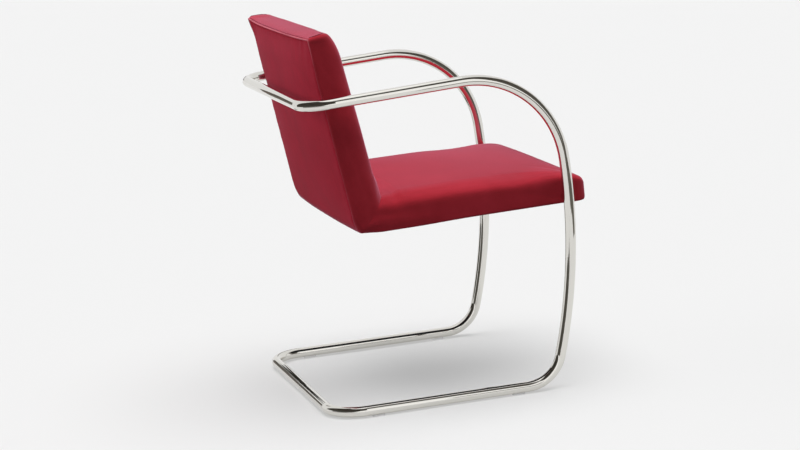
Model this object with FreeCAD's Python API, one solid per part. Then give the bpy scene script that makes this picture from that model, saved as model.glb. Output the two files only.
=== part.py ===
# Cantilever armchair: one bent loop of round steel tube carries an upholstered, L-shaped seat and back.
# Millimetres. Z is up, the chair faces -Y, and X runs across it. The origin is on the floor, in the middle
# of the chair's length and width.
import FreeCAD, Part
import math
import os

Vector = FreeCAD.Vector

# Frame tube
tube_od = 22.0
tube_wall = 2.5
frame_width = 562.0           # over the outsides of the tubes
arm_height = 671.0            # floor to the highest point of the arms
frame_depth = 540.0           # front-most point of the legs to the bar behind the back, centre to centre
floor_loop_depth = 527.0      # front-most point of the legs to the bar on the floor, centre to centre
arm_rise = 3.4                # degrees, the arms rise towards the front
bow_radius = 198.5            # arm into leg
bow_turn = 87.75              # degrees
leg_radius = 1172.0           # the legs are gently bowed
floor_bend_radius = 76.0
top_corner_radius = 60.0
floor_corner_radius = 66.0

# Spigots inside the two butt joints of the tube
spigot_length = 80.0
spigot_wall = 2.0
spigot_clearance = 0.1

# Glides under the floor runners
glide_stand = 2.0             # nylon between the tube and the floor
glide_length = 26.0
glide_width = 10.0
glide_stem = 6.0              # diameter
glide_stem_length = 7.0       # from the underside of the tube
glide_front_setback = 24.0    # from the end of the floor bend to the middle of the front glide
glide_rear_setback = 24.0     # from the start of the rear corner to the middle of the rear glide
glide_stem_clearance = 0.05

# Upholstered unit, over its cloth
side_gap = 15.0               # between the unit's sides and the tubes
bar_gap = 35.6                # between the back's rear face and the bar behind it, at the bar's height
seat_thick = 60.0             # at the side edges
seat_crown = 10.0
seat_tilt = 1.5               # degrees, the seat rises towards the front
seat_overhang = 48.0          # the seat's front stands out in front of the legs' centre line by this
corner_height = 369.0         # floor to the unit's rear lower corner
back_height = 410.0           # rear lower corner to the top, along the rear face
back_thick = 62.0             # at the side edges
back_front_crown = 5.0
back_rear_crown = 9.0
back_lean = 11.0              # degrees from upright
back_top_taper = 3.0          # the back is thinner by this where its front rolls into the top
side_draw = 1.5               # the long sides are drawn in by this at half length
shoulder = 125.0              # width over which a face falls from its crown to its side edge
cloth = 1.6

# Rounding of the unit's edges
seat_top_edge_radius = 24.0
seat_bottom_edge_radius = 5.0
back_front_edge_radius = 20.0
back_rear_edge_radius = 8.0
fold_radius = 9.0             # rear lower corner
crease_run = 2.7              # from the crease inside the fold to the first sections on its two sides
least_edge_radius = 1.0       # on the forms that lie inside the cloth
# Each end rolls over as quarter ellipses: how long before the end one starts, and how far it comes in.
seat_end_under = (8.0, 7.0)
seat_end_over = (52.0, 20.0)
seat_end_side = (20.0, 12.0)
back_end_rear = (4.0, 3.0)
back_end_front = (34.0, 18.0)
back_end_side = (14.0, 8.0)
end_stations = (0.0, 0.03, 0.1, 0.24, 0.5, 1.0)       # shares of the longest of these
# Each station along a limb is a share of its length, of the side draw and of the crown.
seat_stations = ((0.75, 0.8, 0.95), (0.5, 1.0, 1.0), (0.2, 0.4, 0.75))
back_stations = ((0.17, 0.3, 0.85), (0.3, 0.6, 1.0), (0.55, 1.0, 1.0), (0.8, 0.6, 0.9))
seat_end_crown = 0.3          # share of the seat's crown that is left at its front end
top_end_crown = 0.35          # share of the back's crowns that is left at its top end
fold_rear_crown = 0.2         # share of the rear crown that is left at the rear lower corner
fold_inner_crown = 0.28       # share of the seat's crown that is left in the fold
fold_edge = 0.72              # share of the edge radii that is left in the fold

# Steel frame inside the unit
rail_width = 15.0
rail_wall = 1.5
seat_rail_height = 28.0
back_rail_depth = 18.0
side_foam_thick = 12.4
front_foam_thick = 16.0
top_foam_thick = 14.0
rear_foam_thick = 8.0
lower_rail_height = 62.0      # rear lower corner to the underside of the back's lower rail
gusset_leg = 90.0
gusset_web = 40.0             # how far the gusset's slanting edge stands from the inside of the fold
gusset_thick = 3.0

# Webbing
strap_width = 50.0
strap_thick = 2.0
seat_long_strap_count = 4
seat_cross_strap_count = 4
back_long_strap_count = 3
back_cross_strap_count = 4
screw_head = 12.0             # diameter
screw_head_thick = 1.4
screw_shank = 4.0             # diameter
screw_length = 9.0            # under the head
screw_clearance = 0.1

# Fixing of the unit to the tubes
boss_od = 14.0
boss_clearance = 0.4          # round the boss, in the cloth and the foam
bolt_od = 8.0
bolt_length = 36.0            # under the head
bolt_head = 13.0              # diameter
bolt_head_thick = 5.0
bolt_socket = 5.0             # across the flats
bolt_socket_depth = 3.0
bolt_hole_clearance = 0.15
bolt_hole_spare = 2.0         # the drilled hole is deeper than the bolt by this
washer_od = 16.0
washer_thick = 1.6

# Panels of the cloth
panel_inset = 1.0             # from the end of an edge's rounding to the seam
panel_fold_margin = 4.0       # from the end of the fold's rounding to the seam

cut_past = 1.0                # how far a cutting solid runs past the faces that it cuts
flat_within = 0.01            # a crown under this is drawn as a straight line

# Values that follow from the sizes above
tube_r = tube_od / 2
half_width = frame_width / 2 - tube_r                 # centre plane to the tube's centre line
pad_width = frame_width - 2 * tube_od - 2 * side_gap
total_depth = seat_overhang + frame_depth + tube_r
leg_front_y = -total_depth / 2 + seat_overhang        # front-most point of the leg's centre line
top_bar_y = leg_front_y + frame_depth
floor_bar_y = leg_front_y + floor_loop_depth
floor_z = glide_stand + tube_r                        # height of the floor loop's centre line
arm_top_z = arm_height - tube_r
rail_out_x = pad_width / 2 - cloth - side_foam_thick  # outer face of the side rails
rail_in_x = rail_out_x - rail_width


def cosd(angle):
    """Cosine of an angle in degrees."""
    return math.cos(math.radians(angle))


def sind(angle):
    """Sine of an angle in degrees."""
    return math.sin(math.radians(angle))


def box_between(low, high):
    """A box from its lowest to its highest corner."""
    size = high - low
    return Part.makeBox(size.x, size.y, size.z, low)


def rod(radius, start, end):
    """A round solid from one point to another."""
    axis = end - start
    return Part.makeCylinder(radius, axis.Length, start, axis)


def mirrored(shape):
    """The same piece on the other side of the chair."""
    return shape.mirror(Vector(0, 0, 0), Vector(1, 0, 0))


def leg_lean():
    """How steeply the leg meets the floor bend, in degrees below horizontal.

    It is the heading at which the bow, the leg and the floor bend add up to the height of the arms.
    """
    bow_end = bow_turn - arm_rise
    drop = arm_top_z - floor_z
    bow_drop = bow_radius * (1 - cosd(bow_end))
    rest = drop - bow_drop
    cosine = (leg_radius * cosd(bow_end) + floor_bend_radius - rest) / (leg_radius - floor_bend_radius)
    return math.degrees(math.acos(cosine))


def side_moves():
    """The bends of one half of the frame, from the middle of the top bar to the middle of the floor bar.

    Returns:
        The list of moves, the height of the top bar, and where the floor runner starts.
    """
    bow_end = bow_turn - arm_rise
    lean = leg_lean()
    bow_reach = bow_radius * (sind(arm_rise) + sind(bow_end)) + leg_radius * (1 - sind(bow_end))
    bow_start_y = leg_front_y + bow_reach
    bow_start_z = arm_top_z - bow_radius * (1 - cosd(arm_rise))
    arm_run = (top_bar_y - bow_start_y) / cosd(arm_rise)
    top_bar_z = bow_start_z - arm_run * sind(arm_rise)
    floor_back = floor_bend_radius * sind(lean) + leg_radius * (1 - sind(lean))
    floor_start_y = leg_front_y + floor_back
    arm_heading = Vector(0, -cosd(arm_rise), sind(arm_rise))
    across = Vector(-1, 0, 0)
    moves = [
        (half_width - top_corner_radius,),
        (top_corner_radius, 90, across.cross(arm_heading)),
        (arm_run - top_corner_radius,),
        (bow_radius, bow_turn, Vector(1, 0, 0)),
        (leg_radius, lean - bow_end, Vector(1, 0, 0)),
        (floor_bend_radius, 180 - lean, Vector(1, 0, 0)),
        (floor_bar_y - floor_start_y - floor_corner_radius,),
        (floor_corner_radius, 90, Vector(0, 0, -1)),
        (half_width - floor_corner_radius,),
    ]
    return moves, top_bar_z, floor_start_y


class Pad:
    """One limb of the folded unit, seen from its rear lower corner.

    along runs on the outer face away from the corner, and inward runs from that face into the pad.
    """

    def __init__(self, corner, along, inward, depth, thick):
        self.corner = corner
        self.along = along
        self.inward = inward
        self.depth = depth
        self.thick = thick

    def at(self, x, u, v):
        """The point at x across the chair, u along the limb and v into it."""
        return Vector(x, 0, 0) + self.corner + self.along * u + self.inward * v

    def block(self, x_span, u_span, v_span):
        """A block that is square to this limb."""
        (u_low, u_high), (v_low, v_high) = u_span, v_span
        corners = [(u_low, v_low), (u_high, v_low), (u_high, v_high), (u_low, v_high)]
        points = [self.at(x_span[0], u, v) for u, v in corners]
        face = Part.Face(Part.makePolygon(points + points[:1]))
        return face.extrude(Vector(x_span[1] - x_span[0], 0, 0))

    def pin(self, radius, x, u, v_span):
        """A round solid that stands square to this limb's outer face."""
        return rod(radius, self.at(x, u, v_span[0]), self.at(x, u, v_span[1]))


frame_moves, top_bar_z, floor_run_start_y = side_moves()
back_face_y = top_bar_y - tube_r - bar_gap            # rear face of the back at the bar's height
corner_y = back_face_y - (top_bar_z - corner_height) * math.tan(math.radians(back_lean))
seat_depth = (corner_y - leg_front_y + seat_overhang) / cosd(seat_tilt)
fold_corner = Vector(0, corner_y, corner_height)
seat = Pad(fold_corner, Vector(0, -cosd(seat_tilt), sind(seat_tilt)),
           Vector(0, sind(seat_tilt), cosd(seat_tilt)), seat_depth, seat_thick)
back = Pad(fold_corner, Vector(0, sind(back_lean), cosd(back_lean)),
           Vector(0, -cosd(back_lean), sind(back_lean)), back_height, back_thick)
fold_angle = 90 + back_lean - seat_tilt
seat_rail_top = cloth + seat_rail_height
seat_foam_base = seat_rail_top + 2 * strap_thick
back_rail_base = cloth + rear_foam_thick
back_rail_top = back_rail_base + back_rail_depth
back_foam_base = back_rail_top + 2 * strap_thick
front_rail_end = seat_depth - cloth - front_foam_thick
top_rail_end = back_height - cloth - top_foam_thick
rear_rail_start = back_rail_base / sind(fold_angle)


def fold_point(above_seat, before_back):
    """The point inside the fold at these distances from the seat's underside and the back's rear face."""
    along_seat = before_back / sind(fold_angle)
    along_back = above_seat / sind(fold_angle)
    return fold_corner + seat.along * along_seat + back.along * along_back


# Frame

def ring(point, heading, outer_r, inner_r):
    """The tube's cut end at a point, square to its heading."""
    disc = Part.Face(Part.Wire(Part.makeCircle(outer_r, point, heading)))
    if not inner_r:
        return disc
    return disc.cut(Part.Face(Part.Wire(Part.makeCircle(inner_r, point, heading)))).Faces[0]


def bend_tube(start, heading, moves, outer_r, inner_r):
    """Bend a tube as a bender does: a list of straights (length) and bends (radius, degrees, axis)."""
    point, pieces = start, []
    for move in moves:
        face = ring(point, heading, outer_r, inner_r)
        if len(move) == 1:
            pieces.append(face.extrude(heading * move[0]))
            point = point + heading * move[0]
        else:
            radius, angle, axis = move
            centre = point + axis.cross(heading) * radius
            pieces.append(face.revolve(centre, axis, angle))
            turn = FreeCAD.Rotation(axis, angle)
            point = centre + turn.multVec(point - centre)
            heading = turn.multVec(heading)
    return pieces[0].multiFuse(pieces[1:])


def frame_half(outer_r, inner_r):
    """The half of the frame on the sitter's right."""
    return bend_tube(Vector(0, top_bar_y, top_bar_z), Vector(-1, 0, 0), frame_moves, outer_r, inner_r)


def glide_places():
    """The two places of the glides on the runner of the sitter's right."""
    front_y = floor_run_start_y + glide_front_setback
    rear_y = floor_bar_y - floor_corner_radius - glide_rear_setback
    return {"front": Vector(-half_width, front_y, 0), "rear": Vector(-half_width, rear_y, 0)}


def make_frame_tube():
    """One bent half of the frame, with the holes for its glides."""
    tube = frame_half(tube_r, tube_r - tube_wall)
    for place in glide_places().values():
        hole_bottom = place + Vector(0, 0, glide_stand - cut_past)
        hole_top = place + Vector(0, 0, glide_stand + tube_wall + cut_past)
        tube = tube.cut(rod(glide_stem / 2 + glide_stem_clearance, hole_bottom, hole_top))
    return tube


def make_spigot(centre):
    """The short tube that joins the two halves of the frame inside a butt joint."""
    reach = Vector(spigot_length / 2, 0, 0)
    past = Vector(cut_past, 0, 0)
    outer_r = tube_r - tube_wall - spigot_clearance
    outer = rod(outer_r, centre - reach, centre + reach)
    return outer.cut(rod(outer_r - spigot_wall, centre - reach - past, centre + reach + past))


def make_glide(place, runner):
    """A nylon glide: a flat foot that fits the underside of the tube, and a stem in its hole."""
    half = Vector(glide_width / 2, glide_length / 2, 0)
    foot = box_between(place - half, place + half + Vector(0, 0, glide_stand + tube_r / 2)).cut(runner)
    low_part = [solid for solid in foot.Solids if solid.BoundBox.ZMin < glide_stand / 2]
    stem_start = place + Vector(0, 0, glide_stand / 2)
    stem = rod(glide_stem / 2, stem_start, place + Vector(0, 0, glide_stand + glide_stem_length))
    return low_part[0].fuse(stem).removeSplitter()


# Fixing points

def leg_boss_place():
    """Where the leg's centre line passes the middle of the seat's side rail."""
    middle = cloth + seat_rail_height / 2
    leg_centre = Vector(0, leg_front_y + leg_radius, floor_z + leg_centre_rise())
    to_rail = seat.at(0, 0, middle) - leg_centre
    along = to_rail.dot(seat.along)
    half_chord = math.sqrt(along ** 2 - to_rail.dot(to_rail) + leg_radius ** 2)
    return seat.at(0, half_chord - along, middle)


def leg_centre_rise():
    """Height of the leg's centre of curvature, and so of its front-most point, over the floor loop."""
    lean = leg_lean()
    return floor_bend_radius * (1 + cosd(lean)) - leg_radius * cosd(lean)


def arm_boss_place():
    """Where the arm's centre line passes the middle of the back's side rail."""
    middle = back_rail_base + back_rail_depth / 2
    start = back.at(0, 0, middle)
    slope = math.tan(math.radians(arm_rise))
    reach = top_bar_z + slope * (top_bar_y - start.y) - start.z
    along = reach / (back.along.z + slope * back.along.y)
    return back.at(0, along, middle)


def make_boss(point, tube):
    """A round boss, welded to the inner side of the tube and drilled for the bolt, on the right side."""
    tube_end = Vector(-half_width, point.y, point.z)
    rail_end = Vector(-rail_out_x, point.y, point.z)
    boss = rod(boss_od / 2, tube_end, rail_end).cut(tube)
    inner_part = max(boss.Solids, key=lambda solid: solid.CenterOfMass.x)
    bolt_tip_x = -rail_in_x + washer_thick - bolt_length
    hole_end = Vector(bolt_tip_x - bolt_hole_spare, point.y, point.z)
    hole_start = rail_end + Vector(cut_past, 0, 0)
    return inner_part.cut(rod(bolt_od / 2 + bolt_hole_clearance, hole_end, hole_start))


def make_washer(point):
    """The washer under a bolt's head, on the inner face of the rail."""
    start = Vector(-rail_in_x, point.y, point.z)
    end = start + Vector(washer_thick, 0, 0)
    past = Vector(cut_past, 0, 0)
    hole = rod(bolt_od / 2 + bolt_hole_clearance, start - past, end + past)
    return rod(washer_od / 2, start, end).cut(hole)


def make_bolt(point):
    """The bolt through the rail into the boss, with a round head and a hexagon socket."""
    under_head = Vector(-rail_in_x + washer_thick, point.y, point.z)
    top = under_head + Vector(bolt_head_thick, 0, 0)
    head = rod(bolt_head / 2, under_head, top)
    socket_floor = top - Vector(bolt_socket_depth, 0, 0)
    corner_r = bolt_socket / 2 / cosd(30)
    corners = [socket_floor + Vector(0, cosd(60 * turn), sind(60 * turn)) * corner_r for turn in range(7)]
    socket = Part.Face(Part.makePolygon(corners)).extrude(Vector(bolt_socket_depth + cut_past, 0, 0))
    shank = rod(bolt_od / 2, under_head - Vector(bolt_length, 0, 0), under_head)
    return head.cut(socket).fuse(shank).removeSplitter()


# Steel frame inside the unit

def square_tube(pad, x_span, u_span, v_span, run):
    """A welded rail of rectangular tube, square to a pad, open at the ends of its run (x or u)."""
    outer = pad.block(x_span, u_span, v_span)
    thin = [(low + rail_wall, high - rail_wall) for low, high in (x_span, u_span, v_span)]
    index = "xu".index(run)
    low, high = (x_span, u_span)[index]
    thin[index] = (low - cut_past, high + cut_past)
    return outer.cut(pad.block(*thin))


def behind_back_rails():
    """The space behind the rear faces of the back's rails."""
    return back.block((-pad_width, pad_width), (-seat_depth, back_height), (-seat_depth, back_rail_base))


def make_seat_rail(bolt_point):
    """The seat's side rail on the right. Its rear end is cut to the lean of the back."""
    rail = square_tube(seat, (-rail_out_x, -rail_in_x), (-seat_thick, front_rail_end),
                       (cloth, seat_rail_top), "u")
    return drill_across(rail.cut(behind_back_rails()), bolt_point)


def make_back_rail(bolt_point):
    """The back's side rail on the right. It stands on the seat's rail, cut to its slope."""
    rail = square_tube(back, (-rail_out_x, -rail_in_x), (-seat_thick, top_rail_end),
                       (back_rail_base, back_rail_top), "u")
    below = seat.block((-pad_width, pad_width), (-seat_depth, seat_depth), (-seat_depth, seat_rail_top))
    return drill_across(rail.cut(below), bolt_point)


def drill_across(rail, point):
    """Drill both walls of a side rail for the bolt into the boss."""
    start = Vector(-rail_out_x - cut_past, point.y, point.z)
    end = Vector(-rail_in_x + cut_past, point.y, point.z)
    return rail.cut(rod(bolt_od / 2 + bolt_hole_clearance, start, end))


def cross_rail(pad, u_start, v_span):
    """A rail between the two side rails."""
    return square_tube(pad, (-rail_in_x, rail_in_x), (u_start, u_start + rail_width), v_span, "x")


def make_gusset():
    """The plate over the fold, welded to the outer faces of both rails on the right."""
    low = fold_point(cloth + rail_wall, back_rail_base + rail_wall)
    crook = fold_point(seat_rail_top - rail_wall, back_rail_top - rail_wall)
    seat_end = low + seat.along * gusset_leg
    back_end = low + back.along * gusset_leg
    points = [
        low,
        seat_end,
        seat_end + seat.inward * (seat_rail_height - 2 * rail_wall),
        crook + seat.along * gusset_web,
        crook + back.along * gusset_web,
        back_end + back.inward * (back_rail_depth - 2 * rail_wall),
        back_end,
    ]
    shift = Vector(-rail_out_x - gusset_thick, 0, 0)
    face = Part.Face(Part.makePolygon([point + shift for point in points + points[:1]]))
    return face.extrude(Vector(gusset_thick, 0, 0))


# Webbing

def spread(low, high, count):
    """Middles of count straps, spread evenly between two rails."""
    step = (high - low) / count
    return [low + step * (index + 0.5) for index in range(count)]


class Webbing:
    """The straps and screws of one limb: cross straps on the side rails, long straps on top of them."""

    def __init__(self, pad, rail_top, span, long_count, cross_count):
        self.pad = pad
        self.rail_top = rail_top
        self.low, self.high = span
        self.long_places = spread(-rail_in_x, rail_in_x, long_count)
        self.cross_places = spread(self.low + rail_width, self.high - rail_width, cross_count)

    def screw_places(self):
        """Each screw's x, u and the height of the strap's upper face under its head."""
        cross_top = self.rail_top + strap_thick
        places = []
        for u in self.cross_places:
            places += [(side * (rail_in_x + rail_width / 2), u, cross_top) for side in (-1, 1)]
        for x in self.long_places:
            ends = (self.low + rail_width / 2, self.high - rail_width / 2)
            places += [(x, u, cross_top + strap_thick) for u in ends]
        return places

    def holes(self):
        """Drills for the screws, through straps and rails."""
        radius = screw_shank / 2 + screw_clearance
        shapes = []
        for x, u, top in self.screw_places():
            shapes.append(self.pad.pin(radius, x, u, (top - screw_length - cut_past, top + cut_past)))
        return shapes

    def pockets(self):
        """Room for the screw heads in the foam over them."""
        radius = screw_head / 2 + screw_clearance
        depth = screw_head_thick + screw_clearance
        shapes = []
        for x, u, top in self.screw_places():
            shapes.append(self.pad.pin(radius, x, u, (top - cut_past, top + depth)))
        return shapes

    def drilled(self, shape):
        """A strap group or a rail, drilled for every screw that passes it."""
        for hole in self.holes():
            if hole.BoundBox.intersect(shape.BoundBox):
                shape = shape.cut(hole)
        return shape

    def straps(self, long_way):
        """The long or the cross straps, as separate solids."""
        shapes = []
        base = self.rail_top + (strap_thick if long_way else 0)
        for place in (self.long_places if long_way else self.cross_places):
            span = (place - strap_width / 2, place + strap_width / 2)
            ends = (self.low, self.high) if long_way else (-rail_out_x, rail_out_x)
            x_span, u_span = (span, ends) if long_way else (ends, span)
            shapes.append(self.drilled(self.pad.block(x_span, u_span, (base, base + strap_thick))))
        return Part.Compound(shapes)

    def screws(self):
        """The screws, each with a wide flat head."""
        shapes = []
        for x, u, top in self.screw_places():
            head = self.pad.pin(screw_head / 2, x, u, (top, top + screw_head_thick))
            shank = self.pad.pin(screw_shank / 2, x, u, (top - screw_length, top))
            shapes.append(head.fuse(shank).removeSplitter())
        return Part.Compound(shapes)


# Soft forms

def section(outer, inner, half, crowns, radii):
    """One cross-section of the unit, from its outer face to its inner face, as a closed wire.

    Args:
        outer: Middle of the outer face (underside or rear), at its edges' level.
        inner: Middle of the inner face (seat top or back front), at its edges' level.
        half: Half width.
        crowns: How far the middle of the outer and of the inner face stands out.
        radii: Radius of the outer and of the inner side edges.
    """
    height = (inner - outer).Length
    up = (inner - outer).normalize()
    outer_r, inner_r = radii

    def at(x, level):
        return Vector(x, 0, 0) + outer + up * level

    def edge_arc(side, level, radius, upward):
        """Quarter arc of a side edge, from the face round to the side."""
        lean = radius * (1 - math.sqrt(0.5))
        start = at(side * (half - radius), level)
        middle = at(side * (half - lean), level + upward * lean)
        end = at(side * half, level + upward * radius)
        return start, middle, end

    def face_edges(side, level, radius, crown):
        """A face from one side to the other: a shoulder, the flat middle and the other shoulder."""
        edge_x, flat_x = half - radius, half - radius - shoulder
        middle_x, middle_level = (edge_x + flat_x) / 2, level + crown * 3 / 4
        start, first = at(-side * edge_x, level), at(-side * flat_x, level + crown)
        last, end = at(side * flat_x, level + crown), at(side * edge_x, level)
        if abs(crown) < flat_within:
            shoulders = [Part.LineSegment(start, first), Part.LineSegment(last, end)]
        else:
            shoulders = [Part.Arc(start, at(-side * middle_x, middle_level), first),
                         Part.Arc(last, at(side * middle_x, middle_level), end)]
        return [shoulders[0].toShape(), Part.LineSegment(first, last).toShape(), shoulders[1].toShape()]

    right_low = edge_arc(-1, 0, outer_r, 1)
    right_high = edge_arc(-1, height, inner_r, -1)
    left_low = edge_arc(1, 0, outer_r, 1)
    left_high = edge_arc(1, height, inner_r, -1)
    edges = face_edges(1, 0, outer_r, -crowns[0])
    edges += [
        Part.Arc(*left_low).toShape(),
        Part.LineSegment(left_low[2], left_high[2]).toShape(),
        Part.Arc(*reversed(left_high)).toShape(),
    ]
    edges += face_edges(-1, height, inner_r, crowns[1])
    edges += [
        Part.Arc(*right_high).toShape(),
        Part.LineSegment(right_high[2], right_low[2]).toShape(),
        Part.Arc(*reversed(right_low)).toShape(),
    ]
    return Part.Wire(edges)


def limb_section(pad, u, inset, shrink, draw, crowns, radii, taper):
    """A section square to one limb.

    Args:
        pad: The limb.
        u: Place along the limb.
        inset: How far the whole form lies inside the cloth's outer face.
        shrink: How far the outer face, the inner face and the sides come in as the end rolls over.
        draw: How far the sides are drawn in.
        crowns: Crown of the outer and of the inner face.
        radii: Radius of the outer and of the inner side edges.
        taper: How far the inner face comes in.
    """
    outer = pad.at(0, u, inset + shrink[0])
    inner = pad.at(0, u, pad.thick - inset - shrink[1] - taper)
    half = pad_width / 2 - inset - shrink[2] - draw
    return section(outer, inner, half, crowns, inner_radii(radii, inset))


def inner_radii(radii, inset):
    """The edge radii of the form that lies inset inside the cloth's outer face."""
    return [max(radius - inset, least_edge_radius) for radius in radii]


def roll_in(distance, roll):
    """How far a face has come in at a distance before the end, where it rolls over."""
    length, reach = roll
    if distance >= length:
        return 0.0
    return reach * (1 - math.sqrt(1 - (1 - distance / length) ** 2))


def end_roll(pad, inset, crowns, radii, rolls, taper):
    """The sections over which a limb's end rolls over, from the end inwards."""
    wires = []
    longest = max(length for length, _ in rolls)
    for share in end_stations:
        distance = share * longest
        shrink = [roll_in(distance, roll) for roll in rolls]
        wires.append(limb_section(pad, pad.depth - inset - distance, inset, shrink, 0, crowns, radii, taper))
    return wires


def unit_form(inset):
    """The whole upholstered form, or the form that lies inset inside it, as one loft.

    The sections run from the seat's front to the fold, round it, and up to the top of the back.
    """
    seat_radii = (seat_bottom_edge_radius, seat_top_edge_radius)
    back_radii = (back_rear_edge_radius, back_front_edge_radius)
    seat_rolls = (seat_end_under, seat_end_over, seat_end_side)
    back_rolls = (back_end_rear, back_end_front, back_end_side)
    wires = end_roll(seat, inset, (0, seat_crown * seat_end_crown), seat_radii, seat_rolls, 0)
    for share, draw, crown in seat_stations:
        crowns = (0, seat_crown * crown)
        wires.append(limb_section(seat, seat_depth * share, inset, (0, 0, 0), side_draw * draw, crowns,
                                  seat_radii, 0))
    wires += fold_sections(inset)
    for share, draw, crown in back_stations:
        crowns = (back_rear_crown * crown, back_front_crown * crown)
        taper = back_top_taper * max(0, 2 * share - 1)
        wires.append(limb_section(back, back_height * share, inset, (0, 0, 0), side_draw * draw, crowns,
                                  back_radii, taper))
    top_crowns = (back_rear_crown * top_end_crown, back_front_crown * top_end_crown)
    wires += reversed(end_roll(back, inset, top_crowns, back_radii, back_rolls, back_top_taper))
    return Part.makeLoft(wires, True, True)


def fold_sections(inset):
    """The sections round the fold: the crease inside, and the rounded corner outside."""
    outer = fold_point(inset, inset)
    crease = fold_point(seat_thick - inset, back_thick - inset)
    run = fold_radius / math.tan(math.radians(fold_angle / 2))
    cut = fold_radius / sind(fold_angle / 2) - fold_radius
    middle = outer + (crease - outer).normalize() * cut
    radii = inner_radii((back_rear_edge_radius * fold_edge, back_front_edge_radius * fold_edge), inset)
    half = pad_width / 2 - inset
    rear_crown = back_rear_crown * fold_rear_crown
    inner_crown = seat_crown * fold_inner_crown
    pairs = [
        (outer + seat.along * run, crease + seat.along * crease_run, (0, inner_crown)),
        (middle, crease, (rear_crown / 2, inner_crown)),
        (outer + back.along * run, crease + back.along * crease_run, (rear_crown, inner_crown)),
    ]
    return [section(low, high, half, crowns, radii) for low, high, crowns in pairs]


def panel_zone(pad, edge_radius, end_roll_length):
    """The space that cuts a panel out of the cloth on a limb's outer face."""
    side = pad_width / 2 - edge_radius - panel_inset
    run = (fold_radius + panel_fold_margin, pad.depth - end_roll_length - panel_inset)
    return pad.block((-side, side), run, (-pad_width, cloth))


def split_cover(outer_form, inner_form):
    """Cut the cloth shell into its front, rear and underside panels."""
    shell = outer_form.cut(inner_form)
    rear_zone = panel_zone(back, back_rear_edge_radius, back_end_rear[0])
    under_zone = panel_zone(seat, seat_bottom_edge_radius, seat_end_under[0])
    return shell.cut(rear_zone).cut(under_zone), shell.common(rear_zone), shell.common(under_zone)


def split_foam(core):
    """Cut the space inside the cloth into the foam pieces, round the steel frame and its webbing."""
    reach = 2 * back_height
    all_x = (-pad_width, pad_width)
    rail_x = (-rail_out_x, rail_out_x)
    seat_space = seat.block(rail_x, (-seat_thick, front_rail_end), (-reach, seat_foam_base))
    seat_space = seat_space.cut(behind_back_rails())
    back_space = back.block(rail_x, (seat_rail_top / 2, top_rail_end), (back_rail_base, back_foam_base))
    padding = core.cut(seat_space.fuse(back_space))

    slant = (fold_point(seat_thick, back_thick) - fold_corner).normalize()
    above_webbing = seat.block(all_x, (-reach, reach), (seat_foam_base, reach))
    before_webbing = back.block(all_x, (-reach, reach), (back_foam_base, reach))
    seat_zone = wedge(slant, seat.along, reach).common(above_webbing)
    back_zone = wedge(slant, back.along, reach).common(before_webbing)
    edges = padding.cut(seat_zone).cut(back_zone)

    middle = Part.makeBox(2 * rail_out_x, 2 * reach, 2 * reach, Vector(-rail_out_x, -reach, -reach))
    right = Part.makeBox(pad_width, 2 * reach, 2 * reach, Vector(-rail_out_x - pad_width, -reach, -reach))
    middle_strips = sorted(edges.common(middle).Solids, key=lambda solid: solid.Volume)
    beyond_top_rail = back.block(all_x, (top_rail_end, reach), (-reach, reach))
    return {
        "seat_foam": padding.common(seat_zone),
        "back_foam": padding.common(back_zone),
        "side_foam_right": edges.common(right),
        "front_edge_foam": middle_strips[0],
        "top_edge_foam": middle_strips[-1].common(beyond_top_rail),
        "rear_foam": middle_strips[-1].cut(beyond_top_rail),
    }


def wedge(slant, along, reach):
    """The space on one side of the slanting plane through the fold."""
    points = [fold_corner - slant * reach, fold_corner + slant * reach]
    points += [points[1] + along * reach, points[0] + along * reach]
    shift = Vector(-reach, 0, 0)
    face = Part.Face(Part.makePolygon([point + shift for point in points + points[:1]]))
    return face.extrude(Vector(2 * reach, 0, 0))


def pierced(shape, points):
    """Cut the holes for the bosses on the right side."""
    for point in points:
        start = Vector(-pad_width, point.y, point.z)
        end = Vector(-rail_in_x, point.y, point.z)
        shape = shape.cut(rod(boss_od / 2 + boss_clearance, start, end))
    return shape


def both_sides(shapes):
    """A group of the right-hand pieces and their mirror images."""
    return Part.Compound(shapes + [mirrored(shape) for shape in shapes])


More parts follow.
